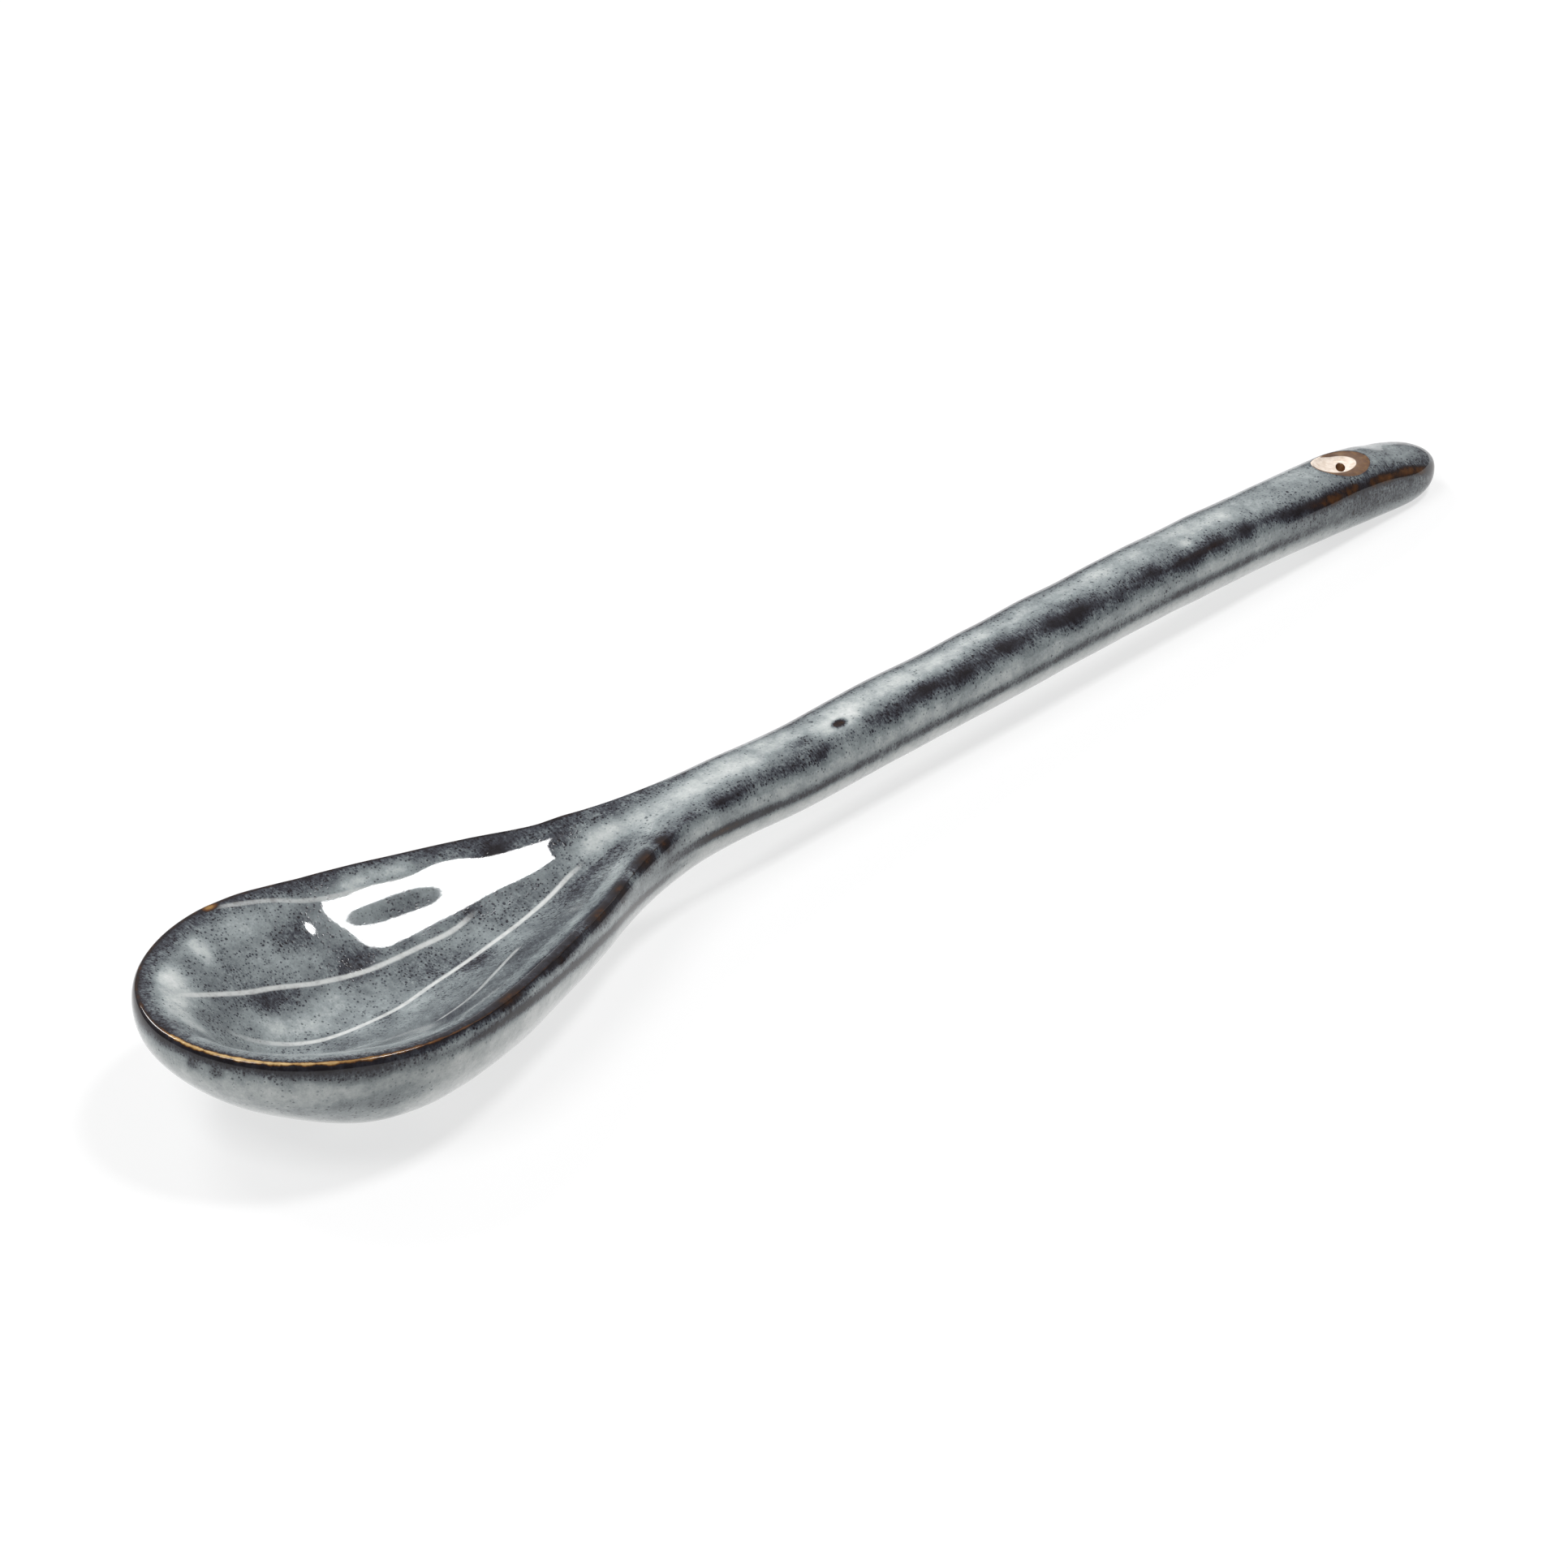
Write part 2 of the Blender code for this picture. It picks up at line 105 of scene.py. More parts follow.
def stations(tip_turns, xs, end_turns):
    """Rows of (crest x, crest y, axis x, end turn)."""
    rows = []
    for p in np.radians(tip_turns):
        rows.append((RIM_WIDEST_X - (RIM_WIDEST_X - RIM_TIP_X) * math.cos(p), RIM_HALF_WIDTH * math.sin(p),
                     RIM_WIDEST_X - (RIM_WIDEST_X - FAN_X) * math.cos(p), 0.0))
    widths = along(HALF_WIDTH, np.array(xs, float)) if len(xs) else []
    rows += [(x, w, x, 0.0) for x, w in zip(xs, widths)]
    for p in np.radians(end_turns):
        rows.append((END_X, float(along(HALF_WIDTH, END_X)), END_X, max(p, 1e-9)))
    return np.array(rows)


def sections(rows, segment, place, side, inset=0.0):
    """Points of whole sections; a column is (segment, place along it, side of the spoon)."""
    cx, cy, mx, turn = (rows[:, i][:, None] for i in range(4))
    segment, place, side = segment[None, :], place[None, :], side[None, :]
    w = np.hypot(cx - mx, cy)
    dx, dy = (cx - mx) / w, cy / w
    crest = RIM_Z - RIM_FALL * (cx - RIM_TIP_X)
    lip = crest - LIP_H
    q = place * math.pi / 2
    sn, cs = np.sin(q), np.abs(np.cos(q))
    mid, outer = w - 0.2 * inset, w + LIP_OUT - inset
    r0 = place * mid
    depth = crest - along(FLOOR, mx + dx * r0)
    shoulder, round_ = along(SHOULDER_POWER, cx), along(HOLLOW_POWER, cx)
    fall = np.clip(1 - place, 0, 1)
    rest = 1 - fall ** shoulder
    drop = 1 - ((rest ** 2 + 0.015) ** (round_ / 2) - 0.015 ** (round_ / 2)) / (1.015 ** (round_ / 2) - 0.015 ** (round_ / 2))
    rate = shoulder * round_ * fall ** (shoulder - 1) * rest ** (round_ - 1)
    z0 = crest - depth * drop - inset * np.hypot(1, depth / w * rate)
    r1, z1 = mid + (outer - mid) * sn, lip + (LIP_H - inset) * cs
    r2 = cs ** (2 / OUTER_POWER) * outer
    under = along(UNDERSIDE, mx + dx * r2) + inset
    z2 = under + (lip - under) * (1 - sn ** (2 / OUTER_POWER))
    rb, zb = np.choose(segment, [r0, r1, r2]), np.choose(segment, [z0, z1, z2])
    angle = np.radians(np.choose(segment, [90 - 48 * place, 42 - 42 * place, -90 * place]))
    wide = HANDLE_HALF_WIDTH - inset
    c, s = np.abs(np.cos(angle)), np.sin(angle)
    rh = wide * c ** (2 / HANDLE_POWER)
    b = smooth(mx, *NECK)
    r = rb * (1 - b) + rh * b
    out, across = np.sin(turn) ** (2 / END_POWER), np.abs(np.cos(turn)) ** (2 / END_POWER)
    x = np.where(turn > 0, mx + r / wide * out * (END_REACH - inset), mx + dx * r)
    at = np.where(turn > 0, x, mx)
    high = along(HANDLE_HALF_HEIGHT, at) - inset
    zh = along(HANDLE_MIDDLE, at) + high * np.sign(s) * np.abs(s) ** (2 / HANDLE_POWER)
    z = zb * (1 - b) + zh * b
    y = np.where(turn > 0, r * across, dy * r) * side
    y = np.where(np.abs(y) < 1e-7, 0.0, y)
    soft = 0.05
    z = inset + soft * np.logaddexp(0, (z - inset) / soft)
    return np.stack([x, y, z], -1)


# ---------------------------------------------------------------- grids of the whole surface
def loop_columns(hollow, lip, outside):
    """Columns round the whole section: +Y half from the middle of the top down, then the -Y half back up."""
    half = [(0, p) for p in hollow] + [(1, p) for p in lip] + [(2, p) for p in outside]
    back = half[-2:0:-1]
    segment = np.array([k for k, _ in half + back])
    place = np.array([p for _, p in half + back])
    side = np.array([1.0] * len(half) + [-1.0] * len(back))
    return segment, place, side


def merged(m, n, fold_first, fold_last):
    """Vertex numbers of the grid, where the two halves of a folded row share their points."""
    number = np.arange(m * n).reshape(m, n)
    twin = (n - np.arange(n)) % n
    for row, fold in ((0, fold_first), (m - 1, fold_last)):
        if fold:
            number[row] = row * n + np.minimum(np.arange(n), twin)
    return number


def grid_normals(points, number):
    m, n = number.shape
    flat = points.reshape(-1, 3)
    a, b = number[:-1, :], number[1:, :]
    c, d = np.roll(b, -1, axis=1), np.roll(a, -1, axis=1)
    total = np.zeros_like(flat)
    for tri in ((a, b, c), (a, c, d)):
        p, q, r = (flat[t.ravel()] for t in tri)
        face = np.cross(q - p, r - p)
        for t in tri:
            np.add.at(total, t.ravel(), face)
    normal = total[number]
    middle = points.mean(axis=1, keepdims=True)
    if np.sum((points - middle) * normal) < 0:
        normal = -normal
    return normal / np.maximum(np.linalg.norm(normal, axis=2, keepdims=True), 1e-12)


def noise3(points, scale, seed=0.0):
    shift = Vector((seed * 17.3, seed * 5.1, seed * 9.7))
    flat = points.reshape(-1, 3) * scale
    values = [noise.noise(Vector(p) + shift) for p in flat.tolist()]
    return np.array(values).reshape(points.shape[:-1])


# ---------------------------------------------------------------- hand-formed relief (mm along the normal)
# burst bubbles: middle, reach along each axis, depth, and how dark they are
PITS = [((68.4, -1.3, 8.2), (0.62, 0.34, 1.0), 0.16, 1.0), ((28.0, -10.2, 8.5), (0.45, 0.45, 0.45), 0.07, 1.0),
        ((0.5, -3.5, 8.9), (0.45, 0.5, 0.4), 0.06, 0.4), ((0.2, -1.4, 9.0), (0.4, 0.4, 0.35), 0.05, 0.5),
        ((19.7, 10.8, 9.0), (0.3, 0.25, 0.4), 0.05, 0.7)]
# a thumb's press on the far wall of the hollow: its upper and lower edge in plan
PRESS_TOP = [(19, 9.3), (22.9, 8.8), (26.2, 8.3), (29.5, 7.3), (32.5, 6.8), (34.1, 6.2), (36, 5.1), (37.9, 4.4), (40.2, 3.7), (43, 2.9)]
PRESS_FOOT = [(19, 7.2), (22.2, 5.7), (23.6, 4.7), (25, 3.9), (29.9, 3.5), (34.4, 3.2), (38.8, 2.5), (43, 1.6)]


def relief(p, normal):
    x, y, z = p[..., 0], p[..., 1], p[..., 2]
    up = smooth(normal[..., 2], 0.2, 0.8)
    handle = smooth(x, 46, 62)
    d = (0.025 + 0.055 * handle) * noise3(p, 0.09, 1) + (0.006 + 0.024 * handle) * noise3(p, 0.3, 2)
    # far wall of the hollow: a steeper belt half-way up, and flatter edges above and below the press
    within = smooth(x, 18.0, 22.0) * (1 - smooth(x, 40.0, 44.0)) * up * smooth(y, -1.2, 1.6)
    belt = (y - (7.05 - 0.216 * (x - 23.1))) / 1.05
    d = d + 0.105 * belt * np.exp(-0.5 * belt * belt) * smooth(x, 21.6, 25.4) * (1 - smooth(x, 29.0, 33)) * up
    above = y - along(PRESS_TOP, x)
    below = along(PRESS_FOOT, x) - y
    d = d - (0.05 + 0.11 * smooth(x, 27, 32) + 0.05 * smooth(x, 33, 38)) * smooth(above, -0.3, 1.2 + 0.7 * smooth(x, 27, 32)) * (1 - smooth(above, 2.6, 5.0)) * within
    d = d + (0.05 + 0.04 * smooth(x, 29, 34)) * smooth(below, -0.3, 1.2) * (1 - smooth(below, 1.2, 7.0)) * within
    left = 22.9 - x
    d = d + (0.06 * smooth(left, -0.3, 1.6) + 0.14 * smooth(left, 0.5, 6.5)) * (1 - smooth(left, 7.0, 17.0)) * smooth(y, 0.5, 6.5) * up
    d = d - 0.05 * bell(x, 20.1, 0.5) * bell(y, 7.9, 0.6) * up
    d = d + 0.11 * smooth(x, 40.4, 44.0) * (1 - smooth(x, 45, 62)) * smooth(y, 0.0, 2.0) * up
    # small dips that give the press clean ends
    d = d - 0.025 * bell(x, 40.5, 1.1) * bell(y, 2.9, 1.2) * up
    d = d - 0.016 * smooth(y, 1.9, 3.4) * smooth(x, 39.5, 43.0) * (1 - smooth(x, 44, 50)) * up
    d = d - 0.018 * smooth(y, 2.4, 4.3) * smooth(x, 19.0, 22.5) * (1 - smooth(x, 24, 29)) * up
    # finger dents along the top of the handle, and the groove that runs on from the hollow
    on_top = smooth(normal[..., 2], -0.1, 0.7) * smooth(x, 56, 64) * bell(y, 0.5, 2.6)
    for place, depth, reach in ((66, 0.10, 4), (81, 0.10, 4), (90, 0.09, 3), (100, 0.13, 4), (112, 0.13, 3.5), (121, 0.06, 4)):
        d = d - depth * bell(x, place, reach) * on_top
    middle = 0.9 - 1.5 * smooth(x, 44, 60)
    d = d - (0.05 + 0.09 * smooth(x, 47, 56)) * bell(y, middle, 0.9) * up * smooth(x, 42, 49) * (1 - smooth(x, 56, 70))
    # a pinch in the upper edge, a burst bubble, and small pits
    d = d - 0.22 * bell(x, 111.6, 1.0) * bell(y, -1.6, 0.5) * up
    d = d + 0.10 * bell(x, 113.4, 0.9) * bell(y, -2.3, 0.5) * up
    for mark, reach, depth, _ in PITS:
        d = d - depth * np.exp(-np.sum(((p - mark) / reach) ** 2, axis=-1))
    return d


# ---------------------------------------------------------------- what the glaze does at each point
# pale slip lines that show through the glaze of the hollow, from the tip end to the neck end
LINES = [
    [(15.1, 12.3), (16.8, 11.8), (18.4, 11.3), (19.7, 10.8), (21.4, 9.9), (23.1, 9.2), (26.3, 8.2), (29, 7.35), (31, 6.8)],
    [(4.6, 6.0), (9.6, 5.9), (13.8, 5.6), (17.6, 4.55), (20.2, 3.9), (22.4, 3.45), (26.5, 2.95), (30.0, 2.55), (32.8, 2.75)],
    [(6.7, 3.8), (8.0, 2.9), (10.3, 2.0), (12.6, 1.1), (14.9, 0.27), (17.6, -0.25), (21.1, -0.55), (24.4, -0.33), (29.1, -0.23),
     (33.2, -0.1), (37.6, 0.3), (40.3, 0.62), (42.2, 0.65)],
    [(17.4, -7.65), (20.0, -7.3), (22.7, -6.6), (26.0, -5.2), (29.5, -3.75), (31.0, -3.25)],
]
LINE_STRENGTH = [0.5, 0.9, 1.0, 0.75]
LINE_FADE = [0.10, 0.07, 0.34, 0.10]     # share of each line over which its tip end fades in

# thicker (+) and thinner (-) glaze in the hollow: x, y, reach along x, reach along y, amount
HOLLOW_SPOTS = [
    (6.4, 7.7, 1.3, 1.2, 0.30), (11.1, 9.5, 0.9, 1.6, 0.26), (5.2, 5.5, 1.3, 1.4, 0.20), (4.0, 3.0, 1.2, 1.6, 0.25),
    (26.9, 9.3, 2.2, 0.9, 0.24), (30, 8.4, 1.8, 0.8, 0.28), (15.5, 10.6, 1.5, 1.0, 0.12), (44.5, 1.3, 2.4, 0.9, 0.34),
    (15.1, 2.2, 1.6, 1.2, 0.12), (12.6, 2.6, 1.6, 1.2, 0.16), (10.5, 4.0, 1.2, 1.2, 0.10), (24, 6.5, 3, 1.5, 0.06),
    (19.1, 7.8, 1.7, 1.2, -0.18), (21.4, 4.3, 2.0, 1.0, -0.20), (12.9, 4.9, 2.6, 1.1, -0.24), (28.9, -1.0, 1.5, 1.0, -0.18),
    (32.1, 3.0, 1.3, 0.8, -0.24), (37.5, 5.2, 2.4, 0.9, -0.30), (41.5, 3.3, 2.0, 0.7, -0.26), (19.2, -0.7, 1.1, 0.9, -0.14),
    (12.1, 7.7, 1.1, 1.0, -0.10), (47.2, 2.7, 1.8, 0.7, -0.30), (26, 1.0, 1.5, 1.2, -0.08), (34, 1.2, 1.5, 0.8, -0.06),
]
# the same round the outside of the bowl: x, y, z, reach, amount
OUTSIDE_SPOTS = [
    (7.0, -8.8, 4.4, 1.8, -0.22), (10.5, -10.4, 4.0, 1.6, -0.18), (3.8, -4.9, 4.6, 2.0, 0.14), (13.5, -10.5, 3.2, 1.5, -0.12),
    (1.0, -2.0, 6.8, 1.6, 0.08), (5.2, -9.1, 6.6, 1.6, 0.10), (17, -12.6, 6.2, 2.5, 0.08), (24, -11, 5.8, 3.0, 0.12),
    (20, 9, 2.5, 3.0, -0.12), (8, 8, 3.0, 3.0, 0.10), (20, -4, 0.2, 4.0, -0.10), (30, 3, 1.0, 4.0, 0.10),
]
# brown breaks along the rim, by the length of rim from the tip (+Y side positive)
RIM_BROWN = [(-62, 0.22), (-44, 0.24), (-26, 0.3), (-22, 0.40), (-18, 0.52), (-14, 0.62), (-11, 0.85), (-4, 0.95), (0, 0.9),
             (1.3, 0.8), (2.6, 0.3), (14, 0.25), (62, 0.22)]
# depth below the near rim's crest of the dark line that runs on along the handle, by the same length
RIM_LINE = [(0, 1.3), (20, 1.3), (26, 1.35), (32, 1.6), (42, 2.2), (47, 2.6), (51, 3.0), (54, 3.2), (60, 3.0)]
# dark ridge along the upper edge of the handle: strength, angle and half-width in the section
RIDGE = [(40, 0.5), (44, 0.7), (46, 0.9), (48.5, 0.5), (51, 0.6), (54.6, 0.88), (57, 0.55), (59.3, 0.8), (61, 0.72),
         (63.3, 1.0), (66, 0.66), (69, 0.55), (72, 0.66), (76, 0.98), (79, 0.8), (82, 0.86), (86.6, 1.06), (90, 0.8),
         (93.6, 1.02), (97.7, 1.02), (101, 0.76), (104.8, 0.98), (107, 0.8), (109.4, 0.98), (113, 1.12), (119, 1.02),
         (124, 1.05), (129, 1.05), (134, 1.08), (142, 1.0), (150, 1.0)]
RIDGE_ANGLE = [(40, 34), (46, 38), (50, 42), (54, 44), (63, 44), (76, 48), (87, 50), (98, 46), (105, 43), (113, 42),
               (119, 42), (124, 37), (129, 30), (134, 28.5), (138, 30), (140, 31), (142, 25), (143.5, 15), (146, 9), (150, 9)]
RIDGE_HALF = [(40, 13), (54, 18), (76, 20), (94, 22), (105, 21), (119, 17), (129, 14), (134, 11), (138, 13), (142, 10), (150, 10)]
LOWER_LINE = [(40, 0.4), (44, 0.7), (47, 0.9), (50, 1.0), (56, 1.0), (60, 0.8), (66, 0.66), (80, 0.62), (100, 0.58),
              (112, 0.66), (120, 0.55), (126, 0.25), (131, 0.0), (150, 0.0)]


def distance_to(line, x, y):
    """Signed distance in plan from a line that is rounded through its points, and the place along it."""
    t = np.linspace(0, len(line) - 1, 10 * (len(line) - 1) + 1)
    px = along([(i, p[0]) for i, p in enumerate(line)], t)
    py = along([(i, p[1]) for i, p in enumerate(line)], t)
    best = np.full(x.shape, 1e9)
    where = np.zeros(x.shape)
    for i in range(len(t) - 1):
        ax, ay, bx, by = px[i], py[i], px[i + 1], py[i + 1]
        ux, uy = bx - ax, by - ay
        k = np.clip(((x - ax) * ux + (y - ay) * uy) / (ux * ux + uy * uy), 0, 1)
        d = np.hypot(x - ax - k * ux, y - ay - k * uy)
        sign = np.where((x - ax) * uy - (y - ay) * ux < 0, -1.0, 1.0)
        near = d < np.abs(best)
        best = np.where(near, sign * d, best)
        where = np.where(near, (i + k) / (len(t) - 1), where)
    return best, where


def paint(p, normal, inside, angle, side, from_crest, run):
    """Glaze thickness with some painted light and shade mixed in, brown, stripes and bare clay at each point."""
    x, y, z = p[..., 0], p[..., 1], p[..., 2]
    near = side < 0
    wander = noise3(p, 0.22, 5)
    fleck = noise3(p, 0.55, 6)
    # bowl, inside
    hollow = 0.49 + 0.13 * wander + 0.09 * fleck
    for sx, sy, rx, ry, amount in HOLLOW_SPOTS:
        hollow = hollow + 1.3 * amount * bell(x, sx, rx) * bell(y, sy, ry)
    # the near rim towards the neck: a broad dark crest, a pale shoulder, and a darker wall under it, where the
    # darkening is painted shade and painted dim reflection
    broad = near * smooth(-run, 13, 24) * (1 - smooth(-run, 50, 57))
    dark_to = np.where(near, 1.2, 2.0) + 0.6 * broad + 0.5 * wander + 0.3 * fleck
    tipward = 1 - smooth(np.abs(run), 5, 14)
    dark_to = dark_to - 0.3 * tipward
    first = 0.4 * (1 - 0.85 * broad)
    edge = first * smooth(from_crest, 0.06, 0.4) + (1 - first) * smooth(from_crest, 0.3 + 0.15 * broad, dark_to)
    hollow = hollow + (0.24 - 0.19 * broad) * bell(from_crest, 2.2, 0.75) * near * (1 - smooth(x, 42, 47))
    # painted shade and painted dim reflection: the near wall under the rim is made darker
    hollow = hollow - 0.17 * broad * smooth(from_crest, 2.7, 3.3) * (1 - smooth(from_crest, 5.0, 8.0))
    hollow = 0.07 + (hollow - 0.07) * edge
    # bowl, outside
    # painted light: the outside is made paler where it faces down, standing for light thrown up from the pale floor
    outer = 0.65 + 0.12 * wander + 0.06 * fleck + 0.16 * smooth(-normal[..., 2], 0.1, 0.8)
    outer = outer + 0.12 * bell(from_crest, 2.3, 0.8) * (1 - broad)
    outer = outer - 0.22 * bell(from_crest + 1.2 * wander, 4.5, 1.2) * bell(np.abs(run), 13, 8)
    line_at = along(RIM_LINE, np.abs(run))
    outward = 0.1 + 0.35 * smooth(-run, 30, 36)
    outer = outer + 0.16 * broad * smooth(from_crest, line_at + 0.2, line_at + 1.2)
    for sx, sy, sz, reach, amount in OUTSIDE_SPOTS:
        outer = outer + amount * np.exp(-((x - sx) ** 2 + (y - sy) ** 2 + (z - sz) ** 2) / reach ** 2)
    edge = 0.3 * smooth(from_crest, 0.6 - 0.3 * tipward, 1.2) + 0.7 * smooth(from_crest, 1.0 - 0.4 * tipward, 2.1 - 0.6 * tipward + 0.6 * wander)
    edge = edge + (smooth(from_crest, outward + 0.3 * wander, outward + 0.8 + 0.3 * fleck) - edge) * broad
    outer = 0.04 + (outer - 0.04) * edge
    dark = 1.3 * bell(from_crest, line_at, 0.36) * near * smooth(-run, 18, 27) * (0.9 + 0.4 * fleck)
    outer = outer - (outer - 0.02) * np.clip(dark, 0, 1)
    bowl = np.where(inside, hollow, outer)
    # handle
    ridge = np.where(near, along(RIDGE, x), 0.72) * (1 + 0.5 * fleck)
    off = np.abs((angle - along(RIDGE_ANGLE, x) - 7 * wander) / along(RIDGE_HALF, x))
    band = np.exp(-(off ** (1.6 + 0.6 * smooth(x, 120, 130))))
    far_end = smooth(x, 116, 134)
    top = 0.63 - 0.07 * far_end + 0.12 * wander + 0.10 * fleck - 0.26 * (1 - near) * (1 - smooth(angle, 56, 84))
    for place, across in ((52.7, -0.5), (57.4, -0.4), (64.5, -0.2), (70.5, 0.1), (76.3, -0.5), (81.5, -0.2), (86.5, -0.2),
                          (91, -0.2), (96.5, -0.2), (101.5, 0), (107, 0), (112, 0.3), (117, -0.5)):
        top = top + 0.13 * bell(x, place, 1.7) * bell(y, across, 1.1)
    flank = 0.74 - 0.38 * smooth(x, 118, 136) + 0.08 * wander + 0.06 * fleck
    # painted light: the handle's underside is made paler, standing for light thrown up from the pale floor
    under = 0.96 - 0.40 * smooth(x, 120, 138) + 0.04 * wander
    body = flank + (top - flank) * smooth(angle, 44, 66) + (under - flank) * (1 - smooth(angle, -22, -4))
    body = body - (body - 0.06) * np.clip(band * ridge, 0, 1)
    line = 1.25 * np.exp(-(((angle + 3) / 5.0) ** 2)) * along(LOWER_LINE, x) * (1 + 0.4 * fleck)
    body = body - (body - 0.08) * np.clip(line, 0, 1)
    # painted highlight (a pale spot) on the edge of the pinch, grey film patch and the pale run on top of the neck
    body = body + 0.35 * bell(x, 111.3, 0.8) * bell(y, -1.35, 0.4) * (z > 5)
    body = body - 0.34 * bell(x, 63.6, 1.7) * bell(y, -1.1, 0.5) * (z > 7)
    body = body + 0.12 * bell(y, 0.9 - 1.7 * smooth(x, 44, 60), 0.9) * smooth(x, 42, 46) * (1 - smooth(x, 70, 90)) * (z > 6)
    b = smooth(x, 41, 52)
    glaze_and_painted_light = bowl * (1 - b) + body * b
    # brown: the rim's break, the neck's glossy patches, the handle's end
    rim = along(RIM_BROWN, run) * (1 - smooth(x, 44, 50))
    warm = np.zeros(x.shape)
    for sx, reach, amount in ((21, 2.4, 0.28), (34.6, 1.8, 0.30), (38.4, 1.1, 0.29), (43.2, 1.3, 0.32), (45.9, 0.8, 0.28)):
        mark = bell(x, sx, reach) * bell(from_crest, 0.2, 0.8) * near
        warm = np.maximum(warm, amount * mark)
        glaze_and_painted_light = glaze_and_painted_light * (1 - 0.9 * mark)
    for sx, reach, amount in ((32.1, 0.7, 0.20), (40.6, 0.8, 0.34), (44.8, 0.5, 0.24)):
        glaze_and_painted_light = glaze_and_painted_light + amount * bell(x, sx, reach) * bell(from_crest, 0.3, 0.9) * near
    warm = np.maximum(warm, 0.34 * bell(x, 53, 3.4) * np.exp(-(((angle + 3) / 4) ** 2)) * near)
    warm = np.maximum(warm, (0.37 + 0.25 * wander + 0.18 * fleck - 0.10 * (1 - near)) * smooth(x, 118, 131) * np.exp(-(((angle - along(RIDGE_ANGLE, x) + 2) / 13) ** 2)))
    warm = np.maximum(warm, 0.22 * bell(x, 112, 6) * np.exp(-(((angle - along(RIDGE_ANGLE, x)) / 9) ** 2)) * near)
    tip = smooth(x, 141.5, 146)
    warm = np.maximum(warm, 0.24 * tip * (0.7 + 1.2 * wander))
    glaze_and_painted_light = glaze_and_painted_light * (1 - 0.2 * tip)
    halo = np.exp(-(((x - 68.4) / 2.0) ** 2) - ((y + 1.3) / 0.9) ** 2) * (z > 7)
    glaze_and_painted_light = glaze_and_painted_light + 0.2 * halo
    for mark, reach, _, shade in PITS:
        pit = np.exp(-np.sum(((p - mark) / (1.25 * np.array(reach))) ** 2, axis=-1))
        glaze_and_painted_light = glaze_and_painted_light * (1 - shade * smooth(pit, 0.1, 0.7))
        warm = np.maximum(warm, 0.24 * shade * smooth(pit, 0.25, 0.7))
    spot = bell(x, 15.0, 0.75) * bell(y, 12.45, 0.3) * (z > 8)
    warm = np.maximum(warm, 0.85 * spot)
    # signed distance from the nearest pale line, and how strongly that line shows
    distance, shows = np.full(x.shape, 2.0), np.zeros(x.shape)
    for line, strength, fade in zip(LINES, LINE_STRENGTH, LINE_FADE):
        d, k = distance_to(line, x, y)
        nearer = np.abs(d) < np.abs(distance)
        ends = smooth(k, 0.0, fade) * (1 - smooth(k, 0.88, 1.0))
        distance = np.where(nearer, d, distance)
        shows = np.where(nearer, strength * ends * (1 - smooth(np.abs(d), 0.55, 0.9)), shows)
    return {"glaze_and_painted_light": np.clip(glaze_and_painted_light, 0, 1), "warm": np.clip(warm, 0, 1), "rim": rim, "line": np.clip(distance, -2, 2),
            "stripe": shows * inside, "bare": np.zeros(x.shape)}


class Surface:
    """A grid over the whole spoon, or a run of it, with its relief, normals and glaze."""

    def __init__(self, rows, columns, fold_first, fold_last, crest):
        segment, place, side = columns
        base = sections(rows, segment, place, side)
        self.number = merged(base.shape[0], base.shape[1], fold_first, fold_last)
        angle = np.choose(segment, [90 - 48 * place, 42 - 42 * place, -90 * place])
        n = len(segment)
        half = n // 2
        step = np.linalg.norm(np.diff(base[:, : half + 1], axis=1), axis=2)
        length = np.concatenate([np.zeros((len(base), 1)), np.cumsum(step, axis=1)], axis=1)
        from_crest = np.abs(length - length[:, crest : crest + 1])
        from_crest = np.concatenate([from_crest, from_crest[:, -2:0:-1]], axis=1)
        edge = base[:, crest]
        run = np.concatenate([[0], np.cumsum(np.linalg.norm(np.diff(edge, axis=0), axis=1))])
        if not fold_first:
            run = run + 69.4 + (edge[0, 0] - 60.5)
        run = run[:, None] * side[None, :]
        inside = np.broadcast_to((segment == 0)[None, :], from_crest.shape)
        signed = np.where(inside | (angle[None, :] > 42), from_crest, -from_crest)
        # relief, and the rim worn rounder at the tip and along the near side
        normal = grid_normals(base, self.number)
        height = relief(base, normal) - 0.09 * bell(from_crest, 0.0, 0.32) * bell(run, 2.8, 2.6)
        height = height - 0.24 * bell(signed, -0.2, 0.5) * smooth(-run, 12, 28) * (1 - smooth(-run, 48, 58))
        lift = (height[..., None] * normal).reshape(-1, 3)[self.number]
        self.points = base + lift
        self.back = sections(rows, segment, place, side, BACK) + lift
        self.normal = grid_normals(self.points, self.number)
        shape = from_crest.shape
        angle, sides = np.broadcast_to(angle[None, :], shape), np.broadcast_to(side[None, :], shape)
        self.glaze = paint(base, normal, inside, angle, sides, from_crest, run)
        self.flow = np.stack([run, signed, np.zeros(shape)], -1)


def attach(mesh, values, flow):
    for name, data in values.items():
        layer = mesh.attributes.new(name, "FLOAT", "POINT")
        layer.data.foreach_set("value", np.asarray(data, np.float32))
    layer = mesh.attributes.new("flow", "FLOAT_VECTOR", "POINT")
    layer.data.foreach_set("vector", np.asarray(flow, np.float32).ravel())


